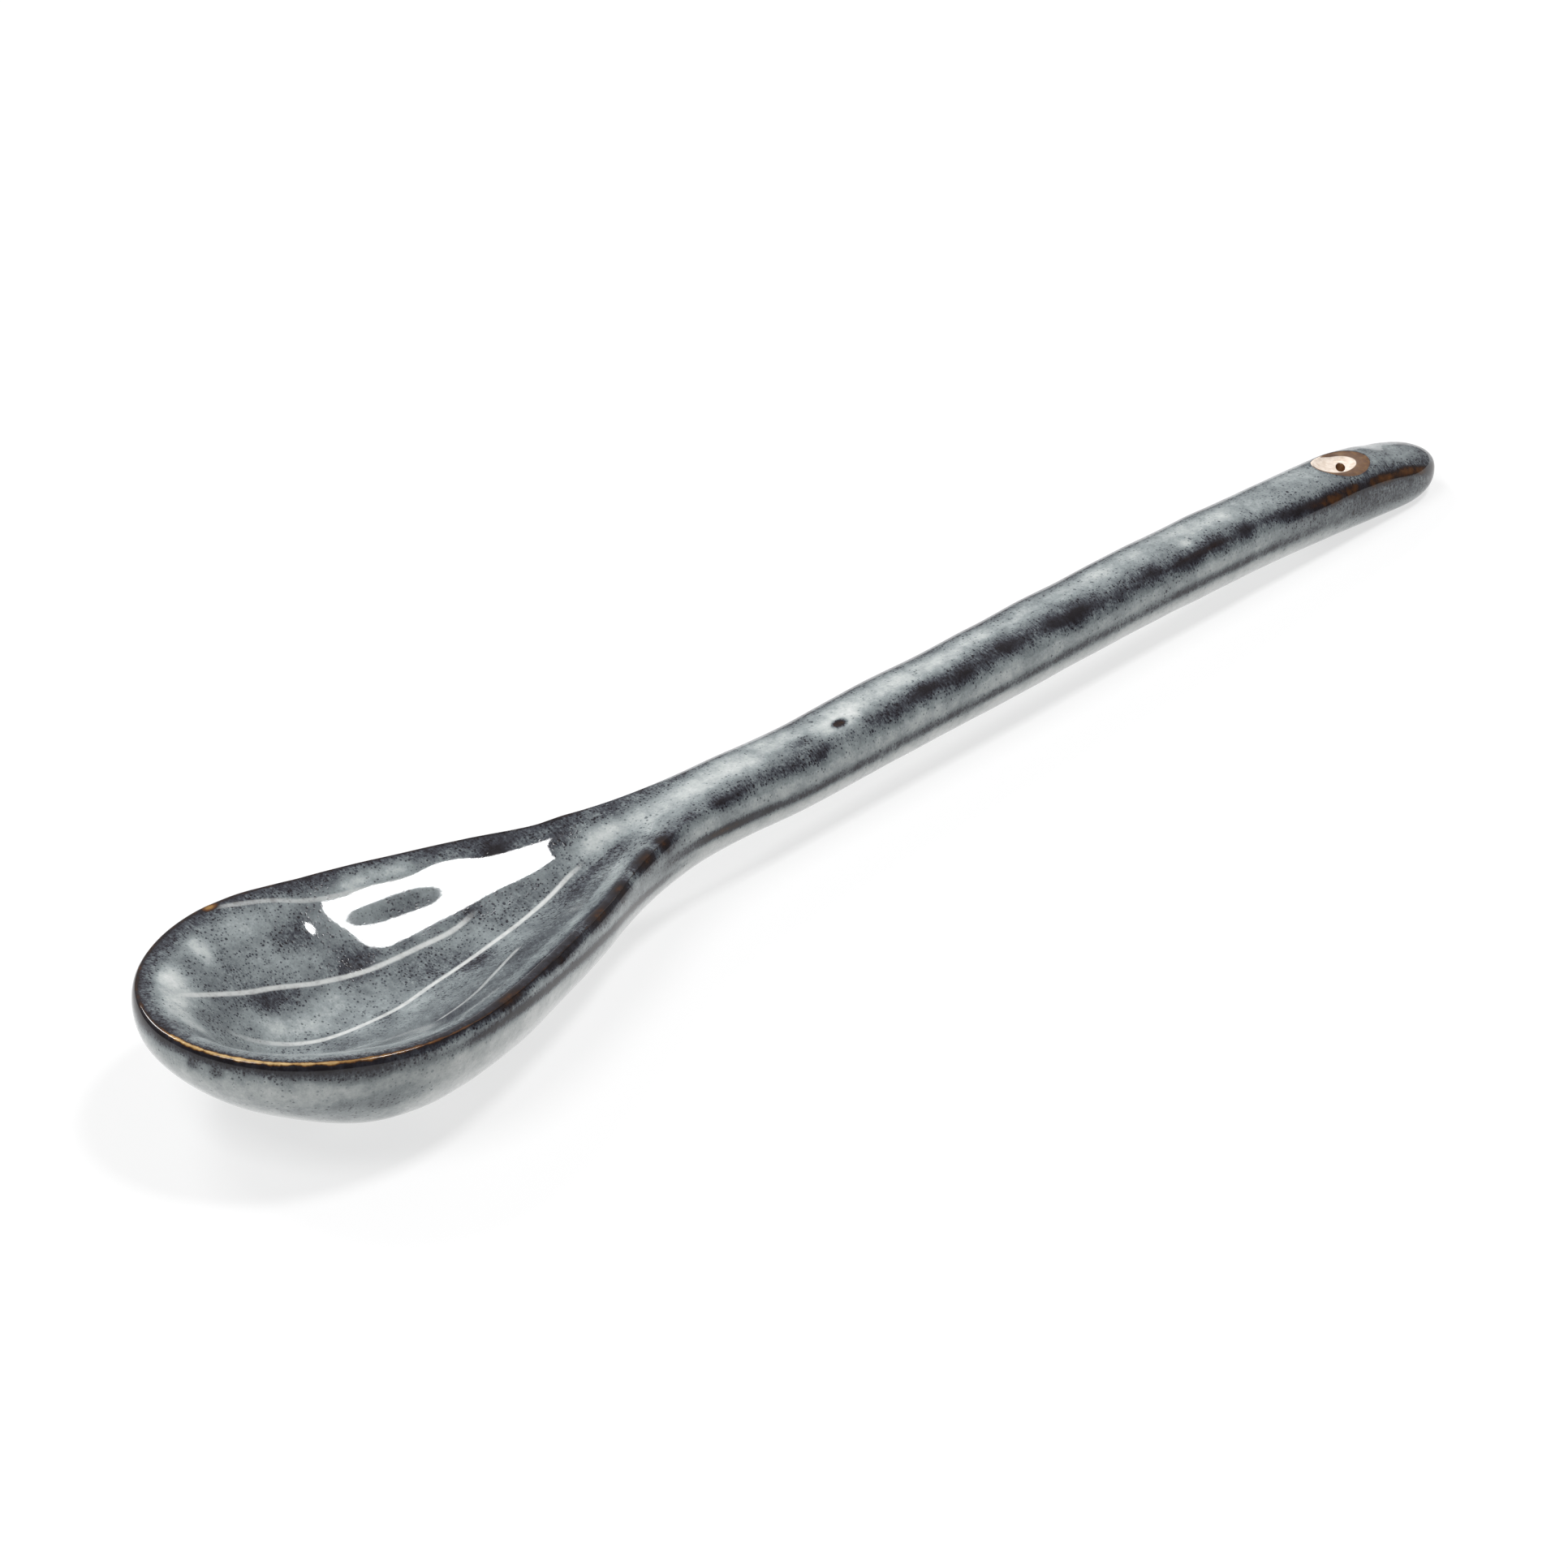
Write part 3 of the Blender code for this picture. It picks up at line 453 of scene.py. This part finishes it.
def built(name, points, faces, normals, values, flow, material):
    """An object from points in mm, whose normals and glaze come with it."""
    used = np.unique(np.concatenate([np.asarray(f).ravel() for f in faces]))
    place = np.full(len(points), -1)
    place[used] = np.arange(len(used))
    mesh = bpy.data.meshes.new(name)
    polygons = []
    for block in faces:
        polygons += [list(dict.fromkeys(f)) for f in place[np.asarray(block)].tolist()]
    polygons = [f for f in polygons if len(f) > 2]
    mesh.from_pydata(((points[used] - [MIDDLE_X, 0, 0]) * MM).tolist(), [], polygons)
    bm = bmesh.new()
    bm.from_mesh(mesh)
    bmesh.ops.recalc_face_normals(bm, faces=bm.faces)
    bm.to_mesh(mesh)
    bm.free()
    mesh.shade_smooth()
    attach(mesh, {k: v[used] for k, v in values.items()}, flow[used])
    if normals is not None:
        mesh.normals_split_custom_set_from_vertices(normals[used].tolist())
    mesh.materials.append(material)
    obj = bpy.data.objects.new(name, mesh)
    bpy.context.scene.collection.objects.link(obj)
    return obj


def quads(number, wrap):
    a, b = number[:-1], number[1:]
    if wrap:
        c, d = np.roll(b, -1, axis=1), np.roll(a, -1, axis=1)
        return np.stack([a, b, c, d], -1).reshape(-1, 4)
    return np.stack([a[:, :-1], b[:, :-1], b[:, 1:], a[:, 1:]], -1).reshape(-1, 4)


def coat(name, surface, rows, columns, material):
    """A closed shell on part of the surface: its skin, and a backing under it."""
    number = surface.number[:rows][:, columns]
    total = surface.points.shape[0] * surface.points.shape[1]
    skin = quads(number, False)
    edge = np.concatenate([number[:, 0], number[-1, 1:-1], number[::-1, -1]])
    walls = np.stack([edge[:-1], edge[1:], edge[1:] + total, edge[:-1] + total], -1)
    points = np.concatenate([surface.points.reshape(-1, 3), surface.back.reshape(-1, 3)])
    normals = np.concatenate([surface.normal.reshape(-1, 3), -surface.normal.reshape(-1, 3)])
    values = {k: np.tile(v.ravel(), 2) for k, v in surface.glaze.items()}
    flow = np.tile(surface.flow.reshape(-1, 3), (2, 1))
    return built(name, points, [skin, skin[:, ::-1] + total, walls], normals, values, flow, material)


# ---------------------------------------------------------------- materials
def node(tree, kind, **settings):
    made = tree.nodes.new(kind)
    for key, value in settings.items():
        if hasattr(made, key):
            setattr(made, key, value)
        else:
            made.inputs[key].default_value = value
    return made


def math_node(tree, operation, a, b=None, c=None, clamp=False):
    made = tree.nodes.new("ShaderNodeMath")
    made.operation = operation
    made.use_clamp = clamp
    for k, value in enumerate((a, b, c)):
        if value is None:
            continue
        if isinstance(value, (int, float)):
            made.inputs[k].default_value = value
        else:
            tree.links.new(value, made.inputs[k])
    return made.outputs[0]


def ranged(tree, value, low, high, to_low=0.0, to_high=1.0, kind="SMOOTHSTEP"):
    made = tree.nodes.new("ShaderNodeMapRange")
    made.interpolation_type = kind
    for k, v in zip(("From Min", "From Max", "To Min", "To Max"), (low, high, to_low, to_high)):
        made.inputs[k].default_value = v
    tree.links.new(value, made.inputs["Value"])
    return made.outputs["Result"]


def mixed(tree, factor, a, b):
    made = tree.nodes.new("ShaderNodeMix")
    made.data_type = "RGBA"
    tree.links.new(factor, made.inputs["Factor"])
    for value, socket in ((a, made.inputs[6]), (b, made.inputs[7])):
        if isinstance(value, tuple):
            socket.default_value = value
        else:
            tree.links.new(value, socket)
    return made.outputs[2]


def ramp(tree, value, stops):
    made = tree.nodes.new("ShaderNodeValToRGB")
    elements = made.color_ramp.elements
    while len(elements) < len(stops):
        elements.new(0.5)
    for element, (place, colour) in zip(elements, stops):
        element.position = place
        element.color = (*colour, 1)
    tree.links.new(value, made.inputs[0])
    return made.outputs[0]


def attribute(tree, name):
    return node(tree, "ShaderNodeAttribute", attribute_name=name)


def scaled(tree, vector, scale):
    made = tree.nodes.new("ShaderNodeMapping")
    made.inputs["Scale"].default_value = scale
    tree.links.new(vector, made.inputs["Vector"])
    return made.outputs[0]


def noise_of(tree, vector, scale, detail=2.0, rough=0.5):
    made = node(tree, "ShaderNodeTexNoise", Scale=scale, Detail=detail, Roughness=rough)
    tree.links.new(vector, made.inputs["Vector"])
    return made.outputs["Fac"]


def specks(tree, vector, scale, share, small, large):
    """1 in round specks: one in each cell that its random number lets through."""
    cells = node(tree, "ShaderNodeTexVoronoi", Scale=scale, Randomness=1.0)
    tree.links.new(vector, cells.inputs["Vector"])
    parts = tree.nodes.new("ShaderNodeSeparateColor")
    tree.links.new(cells.outputs["Color"], parts.inputs[0])
    radius = ranged(tree, parts.outputs[0], 0, 1, small, large, "LINEAR")
    inside = math_node(tree, "SUBTRACT", radius, cells.outputs["Distance"])
    return math_node(tree, "MULTIPLY", ranged(tree, inside, -0.03, 0.05), math_node(tree, "LESS_THAN", parts.outputs[1], share))


def glaze_material(name):
    made = bpy.data.materials.new(name)
    made.use_nodes = True
    tree = made.node_tree
    shader = tree.nodes["Principled BSDF"]
    mm = scaled(tree, tree.nodes.new("ShaderNodeTexCoord").outputs["Object"], (1000, 1000, 1000))
    glaze_and_painted_light, warm, rim, line, stripe, bare = (attribute(tree, n).outputs["Fac"]
                                            for n in ("glaze_and_painted_light", "warm", "rim", "line", "stripe", "bare"))
    flow = attribute(tree, "flow").outputs["Vector"]
    parts = tree.nodes.new("ShaderNodeSeparateXYZ")
    tree.links.new(flow, parts.inputs[0])
    from_crest = math_node(tree, "ABSOLUTE", parts.outputs[1])

    def swing(value):
        return math_node(tree, "SUBTRACT", value, 0.5)

    # clouds, mottle and grain; where the glaze thins out it breaks into short streaks that run off the ridges
    cloud = swing(noise_of(tree, mm, 0.34, 3.0, 0.6))
    mottle = swing(noise_of(tree, mm, 1.4, 3.0, 0.65))
    grain = swing(noise_of(tree, mm, 5.5, 2.0, 0.6))
    hair = swing(noise_of(tree, scaled(tree, flow, (4.6, 1.7, 1.0)), 1.0, 2.0, 0.6))
    thin = ranged(tree, math_node(tree, "ABSOLUTE", math_node(tree, "SUBTRACT", glaze_and_painted_light, 0.28)), 0.06, 0.26, 1.0, 0.0)
    t = math_node(tree, "MULTIPLY_ADD", cloud, 0.42, glaze_and_painted_light)
    t = math_node(tree, "MULTIPLY_ADD", mottle, 0.36, t)
    t = math_node(tree, "MULTIPLY_ADD", grain, ranged(tree, thin, 0, 1, 0.22, 0.55), t)
    t = math_node(tree, "MULTIPLY_ADD", math_node(tree, "MULTIPLY", hair, thin), 0.62, t)
    # dark specks: pepper-fine ones everywhere, coarser ones in drifts; thick glaze hides most of them
    drift = ranged(tree, noise_of(tree, mm, 0.5, 2.0, 0.6), 0.36, 0.62)
    fine = specks(tree, mm, 3.0, 0.7, 0.10, 0.32)
    coarse = math_node(tree, "MULTIPLY", specks(tree, mm, 1.7, 0.5, 0.10, 0.25), drift)
    pepper = math_node(tree, "MAXIMUM", math_node(tree, "MULTIPLY", fine, ranged(tree, drift, 0, 1, 0.3, 0.85)), coarse)
    show = ranged(tree, glaze_and_painted_light, 0.6, 0.9, 1.0, 0.3)
    pepper = math_node(tree, "MULTIPLY", pepper, show)
    # a dust of the finest specks where the glaze turns from pale to dark
    turning = ranged(tree, math_node(tree, "ABSOLUTE", math_node(tree, "SUBTRACT", glaze_and_painted_light, 0.40)), 0.06, 0.30, 1.0, 0.0)
    dust = math_node(tree, "MULTIPLY", specks(tree, mm, 3.9, 0.8, 0.14, 0.40), turning)
    pepper = math_node(tree, "MAXIMUM", pepper, math_node(tree, "MULTIPLY", dust, 0.75))
    t = math_node(tree, "MULTIPLY_ADD", pepper, -0.38, t, clamp=True)
    colour = ramp(tree, t, [
        (0.0, (0.012, 0.010, 0.012)), (0.12, (0.023, 0.022, 0.028)), (0.28, (0.054, 0.059, 0.070)),
        (0.45, (0.135, 0.152, 0.160)), (0.62, (0.235, 0.262, 0.268)), (0.80, (0.395, 0.420, 0.418)),
        (1.0, (0.575, 0.590, 0.582))])
    away = math_node(tree, "MULTIPLY_ADD", mottle, 0.16, math_node(tree, "ABSOLUTE", line))
    shown = math_node(tree, "MULTIPLY", ranged(tree, away, 0.09, 0.27, 1.0, 0.0), stripe)
    shown = math_node(tree, "MULTIPLY", shown, ranged(tree, mottle, -0.25, 0.1, 0.6, 0.9))
    colour = mixed(tree, shown, colour, (0.56, 0.57, 0.56, 1))
    ragged = math_node(tree, "MULTIPLY_ADD", swing(noise_of(tree, scaled(tree, flow, (1.1, 0.6, 1.0)), 1.0, 3.0, 0.6)), 0.5, from_crest)
    broken = math_node(tree, "MAXIMUM", warm, math_node(tree, "MULTIPLY", rim, ranged(tree, ragged, 0.04, 0.30, 1.0, 0.0)))
    broken = math_node(tree, "MULTIPLY_ADD", mottle, ranged(tree, broken, 0.05, 0.3, 0.0, 0.5), broken)
    brown = ramp(tree, broken, [
        (0.0, (0.012, 0.007, 0.005)), (0.25, (0.020, 0.010, 0.007)), (0.5, (0.090, 0.037, 0.013)),
        (0.75, (0.25, 0.14, 0.045)), (1.0, (0.52, 0.37, 0.18))])
    colour = mixed(tree, ranged(tree, broken, 0.08, 0.36), colour, brown)
    clay = ramp(tree, noise_of(tree, mm, 2.2, 4.0, 0.6), [(0.3, (0.52, 0.42, 0.34)), (0.6, (0.68, 0.60, 0.53))])
    colour = mixed(tree, ranged(tree, bare, 0.33, 0.73), colour, clay)
    tree.links.new(colour, shader.inputs["Base Color"])
    gloss = ranged(tree, noise_of(tree, mm, 0.8, 2.0, 0.5), 0.3, 0.7, 0.04, 0.07, "LINEAR")
    rough = math_node(tree, "MAXIMUM", gloss, ranged(tree, bare, 0.25, 0.45, 0.0, 0.8))
    tree.links.new(rough, shader.inputs["Roughness"])
    shader.inputs["Specular IOR Level"].default_value = 0.36
    height = math_node(tree, "MULTIPLY_ADD", pepper, -0.5, noise_of(tree, mm, 2.4, 3.0, 0.6))
    bump = node(tree, "ShaderNodeBump", Strength=1.0, Distance=0.0000025)
    tree.links.new(height, bump.inputs["Height"])
    tree.links.new(bump.outputs[0], shader.inputs["Normal"])
    return made


def matt_material(name, low, high, roughness):
    """Bare clay or slip: a fine grain between two tones."""
    made = bpy.data.materials.new(name)
    made.use_nodes = True
    tree = made.node_tree
    shader = tree.nodes["Principled BSDF"]
    mm = scaled(tree, tree.nodes.new("ShaderNodeTexCoord").outputs["Object"], (1000, 1000, 1000))
    grain = noise_of(tree, mm, 2.0, 4.0, 0.65)
    tree.links.new(ramp(tree, grain, [(0.3, low), (0.7, high)]), shader.inputs["Base Color"])
    shader.inputs["Roughness"].default_value = roughness
    bump = node(tree, "ShaderNodeBump", Strength=0.6, Distance=0.00003)
    tree.links.new(grain, bump.inputs["Height"])
    tree.links.new(bump.outputs[0], shader.inputs["Normal"])
    return made


inner_glaze, outer_glaze, handle_glaze = (glaze_material(n) for n in ("inner_glaze", "outer_glaze", "handle_glaze"))
clay = matt_material("bare_clay", (0.70, 0.58, 0.47), (0.86, 0.77, 0.68), 0.85)
slip = matt_material("pale_slip", (0.52, 0.53, 0.52), (0.68, 0.68, 0.66), 0.7)
for label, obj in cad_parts.items():
    obj.data.materials.clear()
    obj.data.materials.append(clay if label.endswith("clay") else slip if "slip" in label else outer_glaze)

# ---------------------------------------------------------------- bowl
HOLLOW_COLUMNS, LIP_COLUMNS, OUTSIDE_COLUMNS = 60, 10, 62
columns = loop_columns(1 - (1 - np.linspace(0, 1, HOLLOW_COLUMNS + 1)) ** 1.12,
                       np.linspace(0, 1, LIP_COLUMNS + 1)[1:], np.linspace(0, 1, OUTSIDE_COLUMNS + 1)[1:])
bowl_x = np.linspace(15, COAT_SPLIT_X, 196)[1:]
bowl_rows = stations(np.linspace(0, 90, 95), np.concatenate([bowl_x, COAT_SPLIT_X + 0.25 * np.arange(1, 8)]), [])
bowl = Surface(bowl_rows, columns, True, False, HOLLOW_COLUMNS)
rows = 95 + len(bowl_x)
last = HOLLOW_COLUMNS + LIP_COLUMNS
count = len(columns[0])
inner_columns = [j % count for j in range(-last, last + 1)]
outer_columns = list(range(last, count - last + 1))
inner = coat("bowl_inner_skin", bowl, rows, inner_columns, inner_glaze)
outer = coat("bowl_outer_skin", bowl, rows, outer_columns, outer_glaze)

# ---------------------------------------------------------------- handle, with its hanging hole
TURNS = np.linspace(90, -90, 65)
places = [[], [], []]
for a in TURNS:
    places[0 if a >= 42 else 1 if a >= 0 else 2].append((90 - a) / 48 if a >= 42 else (42 - a) / 42 if a >= 0 else -a / 90)
columns = loop_columns(*places)
crest = len(places[0]) - 1
handle_x = np.linspace(COAT_SPLIT_X, END_X, 290)[:-1]
handle_rows = stations([], np.concatenate([COAT_SPLIT_X - 0.25 * np.arange(7, 0, -1), handle_x]), np.linspace(0, 90, 42))
grip = Surface(handle_rows, columns, False, True, crest)
first = 7
count = len(columns[0])


def block_loop(i0, i1, js):
    """Vertices round a block of the grid, counter-clockwise in plan: js run from -Y to +Y."""
    number = grip.number
    loop = [number[i, js[0]] for i in range(i0, i1)] + [number[i1, j] for j in js[:-1]]
    loop += [number[i, js[-1]] for i in range(i1, i0, -1)] + [number[i0, j] for j in js[:0:-1]]
    return np.array(loop)


def nearest_row(x):
    return int(np.argmin(np.abs(handle_rows[:, 2] + np.where(handle_rows[:, 3] > 1e-6, 1e3, 0) - x)))


row0, row1 = nearest_row(HOLE[0] - 4.2), nearest_row(HOLE[0] + 4.0)
half_top = 20
top_columns = [(-j) % count for j in range(half_top, -half_top - 1, -1)]
middle_column = count // 2
under_columns = [middle_column - j for j in range(-half_top, half_top + 1)]
if grip.points[row0, top_columns[0], 1] > 0:
    top_columns = top_columns[::-1]
if grip.points[row0, under_columns[0], 1] > 0:
    under_columns = under_columns[::-1]
upper, lower = block_loop(row0, row1, top_columns), block_loop(row0, row1, under_columns)


def handle_height(x, y, top):
    c = np.clip(np.abs(y) / HANDLE_HALF_WIDTH, 0, 1) ** HANDLE_POWER
    high = along(HANDLE_HALF_HEIGHT, x) * (1 - c) ** (1 / HANDLE_POWER)
    z = along(HANDLE_MIDDLE, x) + (high if top else -high)
    soft = 0.05
    return soft * np.logaddexp(0, z / soft)


flat = grip.points.reshape(-1, 3)
AXIS_R = np.array([0.664, -0.748])
hole = np.array(HOLE)
ring_points, ring_glaze, ring_flow = [], [], []


def on_handle(plan, top):
    """Points on the handle's own surface at places in plan, with their glaze and flow."""
    x, y = plan[:, 0], plan[:, 1]
    p = np.column_stack([x, y, handle_height(x, y, top)])
    e = 0.02
    gx = (handle_height(x + e, y, top) - handle_height(x - e, y, top)) / (2 * e)
    gy = (handle_height(x, y + e, top) - handle_height(x, y - e, top)) / (2 * e)
    normal = np.column_stack([-gx, -gy, np.ones(len(x))]) * (1 if top else -1)
    normal /= np.linalg.norm(normal, axis=1)[:, None]
    angle = np.degrees(np.arccos(np.clip(np.abs(y) / HANDLE_HALF_WIDTH, 0, 1) ** (HANDLE_POWER / 2))) * (1 if top else -1)
    side = np.where(y < 0, -1.0, 1.0)
    from_crest = 1.15 * np.abs(2.62 - np.abs(y)) if top else 2.9 + 3.35 - np.abs(y)
    run = side * (69.4 + x - COAT_SPLIT_X)
    glaze = paint(p[None], normal[None], (angle >= 42)[None], angle[None], side[None], from_crest[None], run[None])
    lifted = p + relief(p[None], normal[None])[0][:, None] * normal
    signed = np.where(angle > 42, from_crest, -from_crest)
    return lifted, {k: v[0] for k, v in glaze.items()}, np.column_stack([run, signed, np.zeros(len(x))])


def ring(points, glaze_and_painted_light, warm, bare, flow=None):
    size = len(points)
    full = {"glaze_and_painted_light": glaze_and_painted_light, "warm": warm, "bare": bare, "rim": 0.0, "line": 2.0, "stripe": 0.0}
    ring_points.append(points)
    ring_glaze.append({k: np.broadcast_to(np.asarray(v, float), (size,)) for k, v in full.items()})
    ring_flow.append(points if flow is None else flow)


def spread(start, end, t):
    return start + (end - start) * t


loop_plan = flat[upper][:, :2]
turn = loop_plan - hole
turn /= np.linalg.norm(turn, axis=1)[:, None]
mouth = hole + turn * (1 / np.hypot(turn[:, 0] / 3.05, turn[:, 1] / 2.08))[:, None]
dish = np.array([133.4, 0.1]) + turn * (1 / np.hypot(turn[:, 0] / 2.3, turn[:, 1] / 1.5))[:, None]
for t in (0.15, 0.3, 0.45, 0.6, 0.72, 0.82, 0.9, 0.96):
    points, glaze, run_off = on_handle(spread(loop_plan, mouth, t), True)
    ring(points, glaze["glaze_and_painted_light"] * (1 - 0.35 * smooth(t, 0.7, 1.0)), glaze["warm"], 0.0, run_off)
edge, _, run_off = on_handle(mouth, True)
edge[:, 2] -= 0.03
gap = np.linalg.norm(mouth - dish, axis=1)
bared = 0.6 * (1 - smooth(gap, 0.2, 0.5))
ring(edge, 0.25, 0.5, 0.37 + bared, run_off)
foot = np.column_stack([dish, handle_height(dish[:, 0], dish[:, 1], True) - 0.06 - 0.30 * smooth(gap, 0.25, 0.9)])
for t in (0.05, 0.14, 0.28, 0.48, 0.7, 0.86, 0.95):
    points = spread(edge, foot, t)
    points[:, 2] += 0.06 * smooth(gap, 0.25, 0.9) * math.sin(math.pi * t)
    ring(points, 0.25, 0.5, 0.37 + 0.03 * t + bared)
THROAT_Z = 5.25
top_throat, low_throat = np.array([134.1, -0.08]), np.array([133.52, -0.38])
AXIS_F = np.array([0.748, 0.664])
oval = turn / np.hypot(turn @ AXIS_R / 0.38, turn @ AXIS_F / 0.85)[:, None]
throat = np.column_stack([top_throat + oval, np.full(len(turn), THROAT_Z)])
for t in (0.0, 0.04, 0.12, 0.25, 0.4, 0.55, 0.7, 0.82, 0.91, 0.97):
    points = spread(foot, throat, t)
    points[:, 2] -= 0.10 * math.sin(math.pi * t ** 0.8)
    ring(points, 0.3, 0.0, 1.0)
under_z = handle_height(np.array([HOLE[0]]), np.array([HOLE[1]]), False)[0]
for t in (0.0, 0.08, 0.3, 0.6, 1.0):
    plan = spread(top_throat, low_throat, t) + spread(oval, turn * 0.44, t)
    ring(np.column_stack([plan, np.full(len(turn), spread(THROAT_Z - 0.03, 4.35, t))]), 0.1, 0.5, 0.0)
for t in (0.3, 0.6, 0.9):
    ring(np.column_stack([low_throat + turn * 0.44, np.full(len(turn), spread(4.35, under_z + 0.2, t))]), 0.1, 0.45, 0.0)
low_plan = flat[lower][:, :2]
low_turn = low_plan - hole
low_turn /= np.linalg.norm(low_turn, axis=1)[:, None]
ring(np.column_stack([low_throat + low_turn * 0.5, np.full(len(lower), under_z + 0.1)]), 0.15, 0.4, 0.0)
exit_plan = low_throat + low_turn * 0.75
points, glaze, run_off = on_handle(exit_plan, False)
ring(points, glaze["glaze_and_painted_light"] * 0.4, 0.3, 0.0, run_off)
for t in (0.15, 0.3, 0.5, 0.7, 0.85):
    points, glaze, run_off = on_handle(spread(exit_plan, low_plan, t), False)
    ring(points, glaze["glaze_and_painted_light"] * (0.6 + 0.4 * t), glaze["warm"], 0.0, run_off)

total = len(flat)
n_loop = len(upper)
ids = [upper] + [total + k * n_loop + np.arange(n_loop) for k in range(len(ring_points))] + [lower]
ring_faces = []
for a, b in zip(ids[:-1], ids[1:]):
    ring_faces.append(np.stack([a, np.roll(a, -1), np.roll(b, -1), b], -1))
keep = np.ones((grip.number.shape[0] - 1, count), bool)
for js in (top_columns, under_columns):
    for j, k in zip(js[:-1], js[1:]):
        left = j if (k - j) % count == 1 else k
        keep[row0:row1, left] = False
skin = quads(grip.number, True).reshape(grip.number.shape[0] - 1, count, 4)
skin = skin[first:][keep[first:]]
points = np.concatenate([flat] + ring_points)
cap = points[grip.number[first]].mean(axis=0)
points = np.concatenate([points, cap[None]])
rim_ids = grip.number[first]
cap_faces = np.stack([rim_ids, np.roll(rim_ids, -1), np.full(count, len(points) - 1)], -1)
values = {}
for key in grip.glaze:
    values[key] = np.concatenate([grip.glaze[key].ravel()] + [g[key] for g in ring_glaze] + [[0.5]])
flow = np.concatenate([grip.flow.reshape(-1, 3)] + ring_flow + [np.zeros((1, 3))])
handle = built("handle_skin", points, [skin.reshape(-1, 4)] + ring_faces + [cap_faces], None, values, flow, handle_glaze)

# seam with the bowl: normals of the surface that runs on, so that the coats read as one
mesh = handle.data
co = np.zeros(len(mesh.vertices) * 3)
mesh.vertices.foreach_get("co", co)
co = co.reshape(-1, 3)
normals = np.zeros(len(mesh.vertices) * 3)
mesh.vertex_normals.foreach_get("vector", normals)
normals = normals.reshape(-1, 3)
seam = np.nonzero(np.abs(co[:, 0] - co[:, 0].min()) < 2e-4)[0]
seam_points = (grip.points[first] - [MIDDLE_X, 0, 0]) * MM
for v in seam:
    k = np.argmin(np.sum((seam_points - co[v]) ** 2, axis=1))
    if np.linalg.norm(seam_points[k] - co[v]) < 1e-6:
        normals[v] = grip.normal[first, k]
mesh.normals_split_custom_set_from_vertices(normals.tolist())

# ---------------------------------------------------------------- riding on the root body, and the CAD coats hidden
for piece, slot_name, gone in ((inner, "inner_glaze", "bowl_inner_glaze"), (outer, "outer_glaze", "bowl_outer_glaze"),
                               (handle, "handle_glaze", "handle_glaze")):
    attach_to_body(piece, "root")
    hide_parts(gone)


# ---------------------------------------------------------------- stage
def flat_mesh(name, corners, material):
    mesh = bpy.data.meshes.new(name)
    mesh.from_pydata(corners, [], [list(range(len(corners)))])
    mesh.materials.append(material)
    obj = bpy.data.objects.new(name, mesh)
    bpy.context.scene.collection.objects.link(obj)
    return obj


floor_material = bpy.data.materials.new("pale_floor")
floor_material.use_nodes = True
floor_shader = floor_material.node_tree.nodes["Principled BSDF"]
floor_shader.inputs["Base Color"].default_value = (0.25, 0.25, 0.25, 1)
floor_shader.inputs["Roughness"].default_value = 0.9
floor_shader.inputs["Specular IOR Level"].default_value = 0.0
floor_shader.inputs["Emission Color"].default_value = (1, 1, 1, 1)
floor_shader.inputs["Emission Strength"].default_value = 0.68
floor = flat_mesh("floor", [(-3, -3, 0), (3, -3, 0), (3, 3, 0), (-3, 3, 0)], floor_material)

scene = bpy.context.scene
world = bpy.data.worlds.new("studio")
world.use_nodes = True
sky = world.node_tree
# a dim room with a pale sweep behind the spoon and a pale ceiling
way = sky.nodes.new("ShaderNodeTexCoord").outputs["Generated"]


def towards(direction, low, high, amount):
    made = sky.nodes.new("ShaderNodeVectorMath")
    made.operation = "DOT_PRODUCT"
    made.inputs[1].default_value = Vector(direction).normalized()
    sky.links.new(way, made.inputs[0])
    return ranged(sky, made.outputs["Value"], low, high, 0.0, amount)


glow = math_node(sky, "ADD", towards((0.65, 0.58, 0.3), 0.0, 0.9, 0.18), towards((0, 0, 1), 0.2, 1.0, 0.22))
sky.links.new(math_node(sky, "ADD", glow, 0.07), sky.nodes["Background"].inputs["Strength"])
sky.nodes["Background"].inputs["Color"].default_value = (1, 1, 1, 1)
scene.world = world


def softbox(name, target, direction, distance, width, height, power, roll=0.0):
    """A rectangular area light that faces the target from the direction."""
    light = bpy.data.lights.new(name, "AREA")
    light.shape = "RECTANGLE"
    light.size, light.size_y = width, height
    light.energy = power
    obj = bpy.data.objects.new(name, light)
    way = Vector(direction).normalized()
    across = (Vector((1, 0, 0)) - way * way.x).normalized()
    turn = Matrix((across, way.cross(across), way)).transposed() @ Matrix.Rotation(roll, 3, "Z")
    obj.matrix_world = Matrix.Translation(Vector(target) + way * distance) @ turn.to_4x4()
    scene.collection.objects.link(obj)
    return obj


softbox("key_softbox", (-0.0512, 0.0028, 0.0101), (0.417, -0.18, 0.90), 0.7, 0.172, 0.147, 3.12)
softbox("left_softbox", (-0.07, 0.0, 0.009), (-0.54, 0.09, 0.87), 0.8, 0.35, 0.35, 3.6)
softbox("back_softbox", (-0.07, 0.0, 0.009), (0.12, 0.77, 0.63), 0.8, 0.30, 0.18, 3.0)

camera = bpy.data.cameras.new("camera")
camera.sensor_fit = "HORIZONTAL"
camera.sensor_width = 36.0
camera.lens = 136.59
camera.clip_start, camera.clip_end = 0.01, 20
view = bpy.data.objects.new("camera", camera)
a, e = math.radians(48.42465), math.radians(29.22532)
r = Vector((math.cos(a), -math.sin(a), 0))
u = Vector((math.sin(a) * math.sin(e), math.cos(a) * math.sin(e), math.cos(e)))
back = r.cross(u)
view.matrix_world = Matrix.Translation((-0.30736, -0.26427, 0.22696)) @ Matrix((r, u, back)).transposed().to_4x4()
scene.collection.objects.link(view)
scene.camera = view
scene.view_settings.view_transform = "Standard"
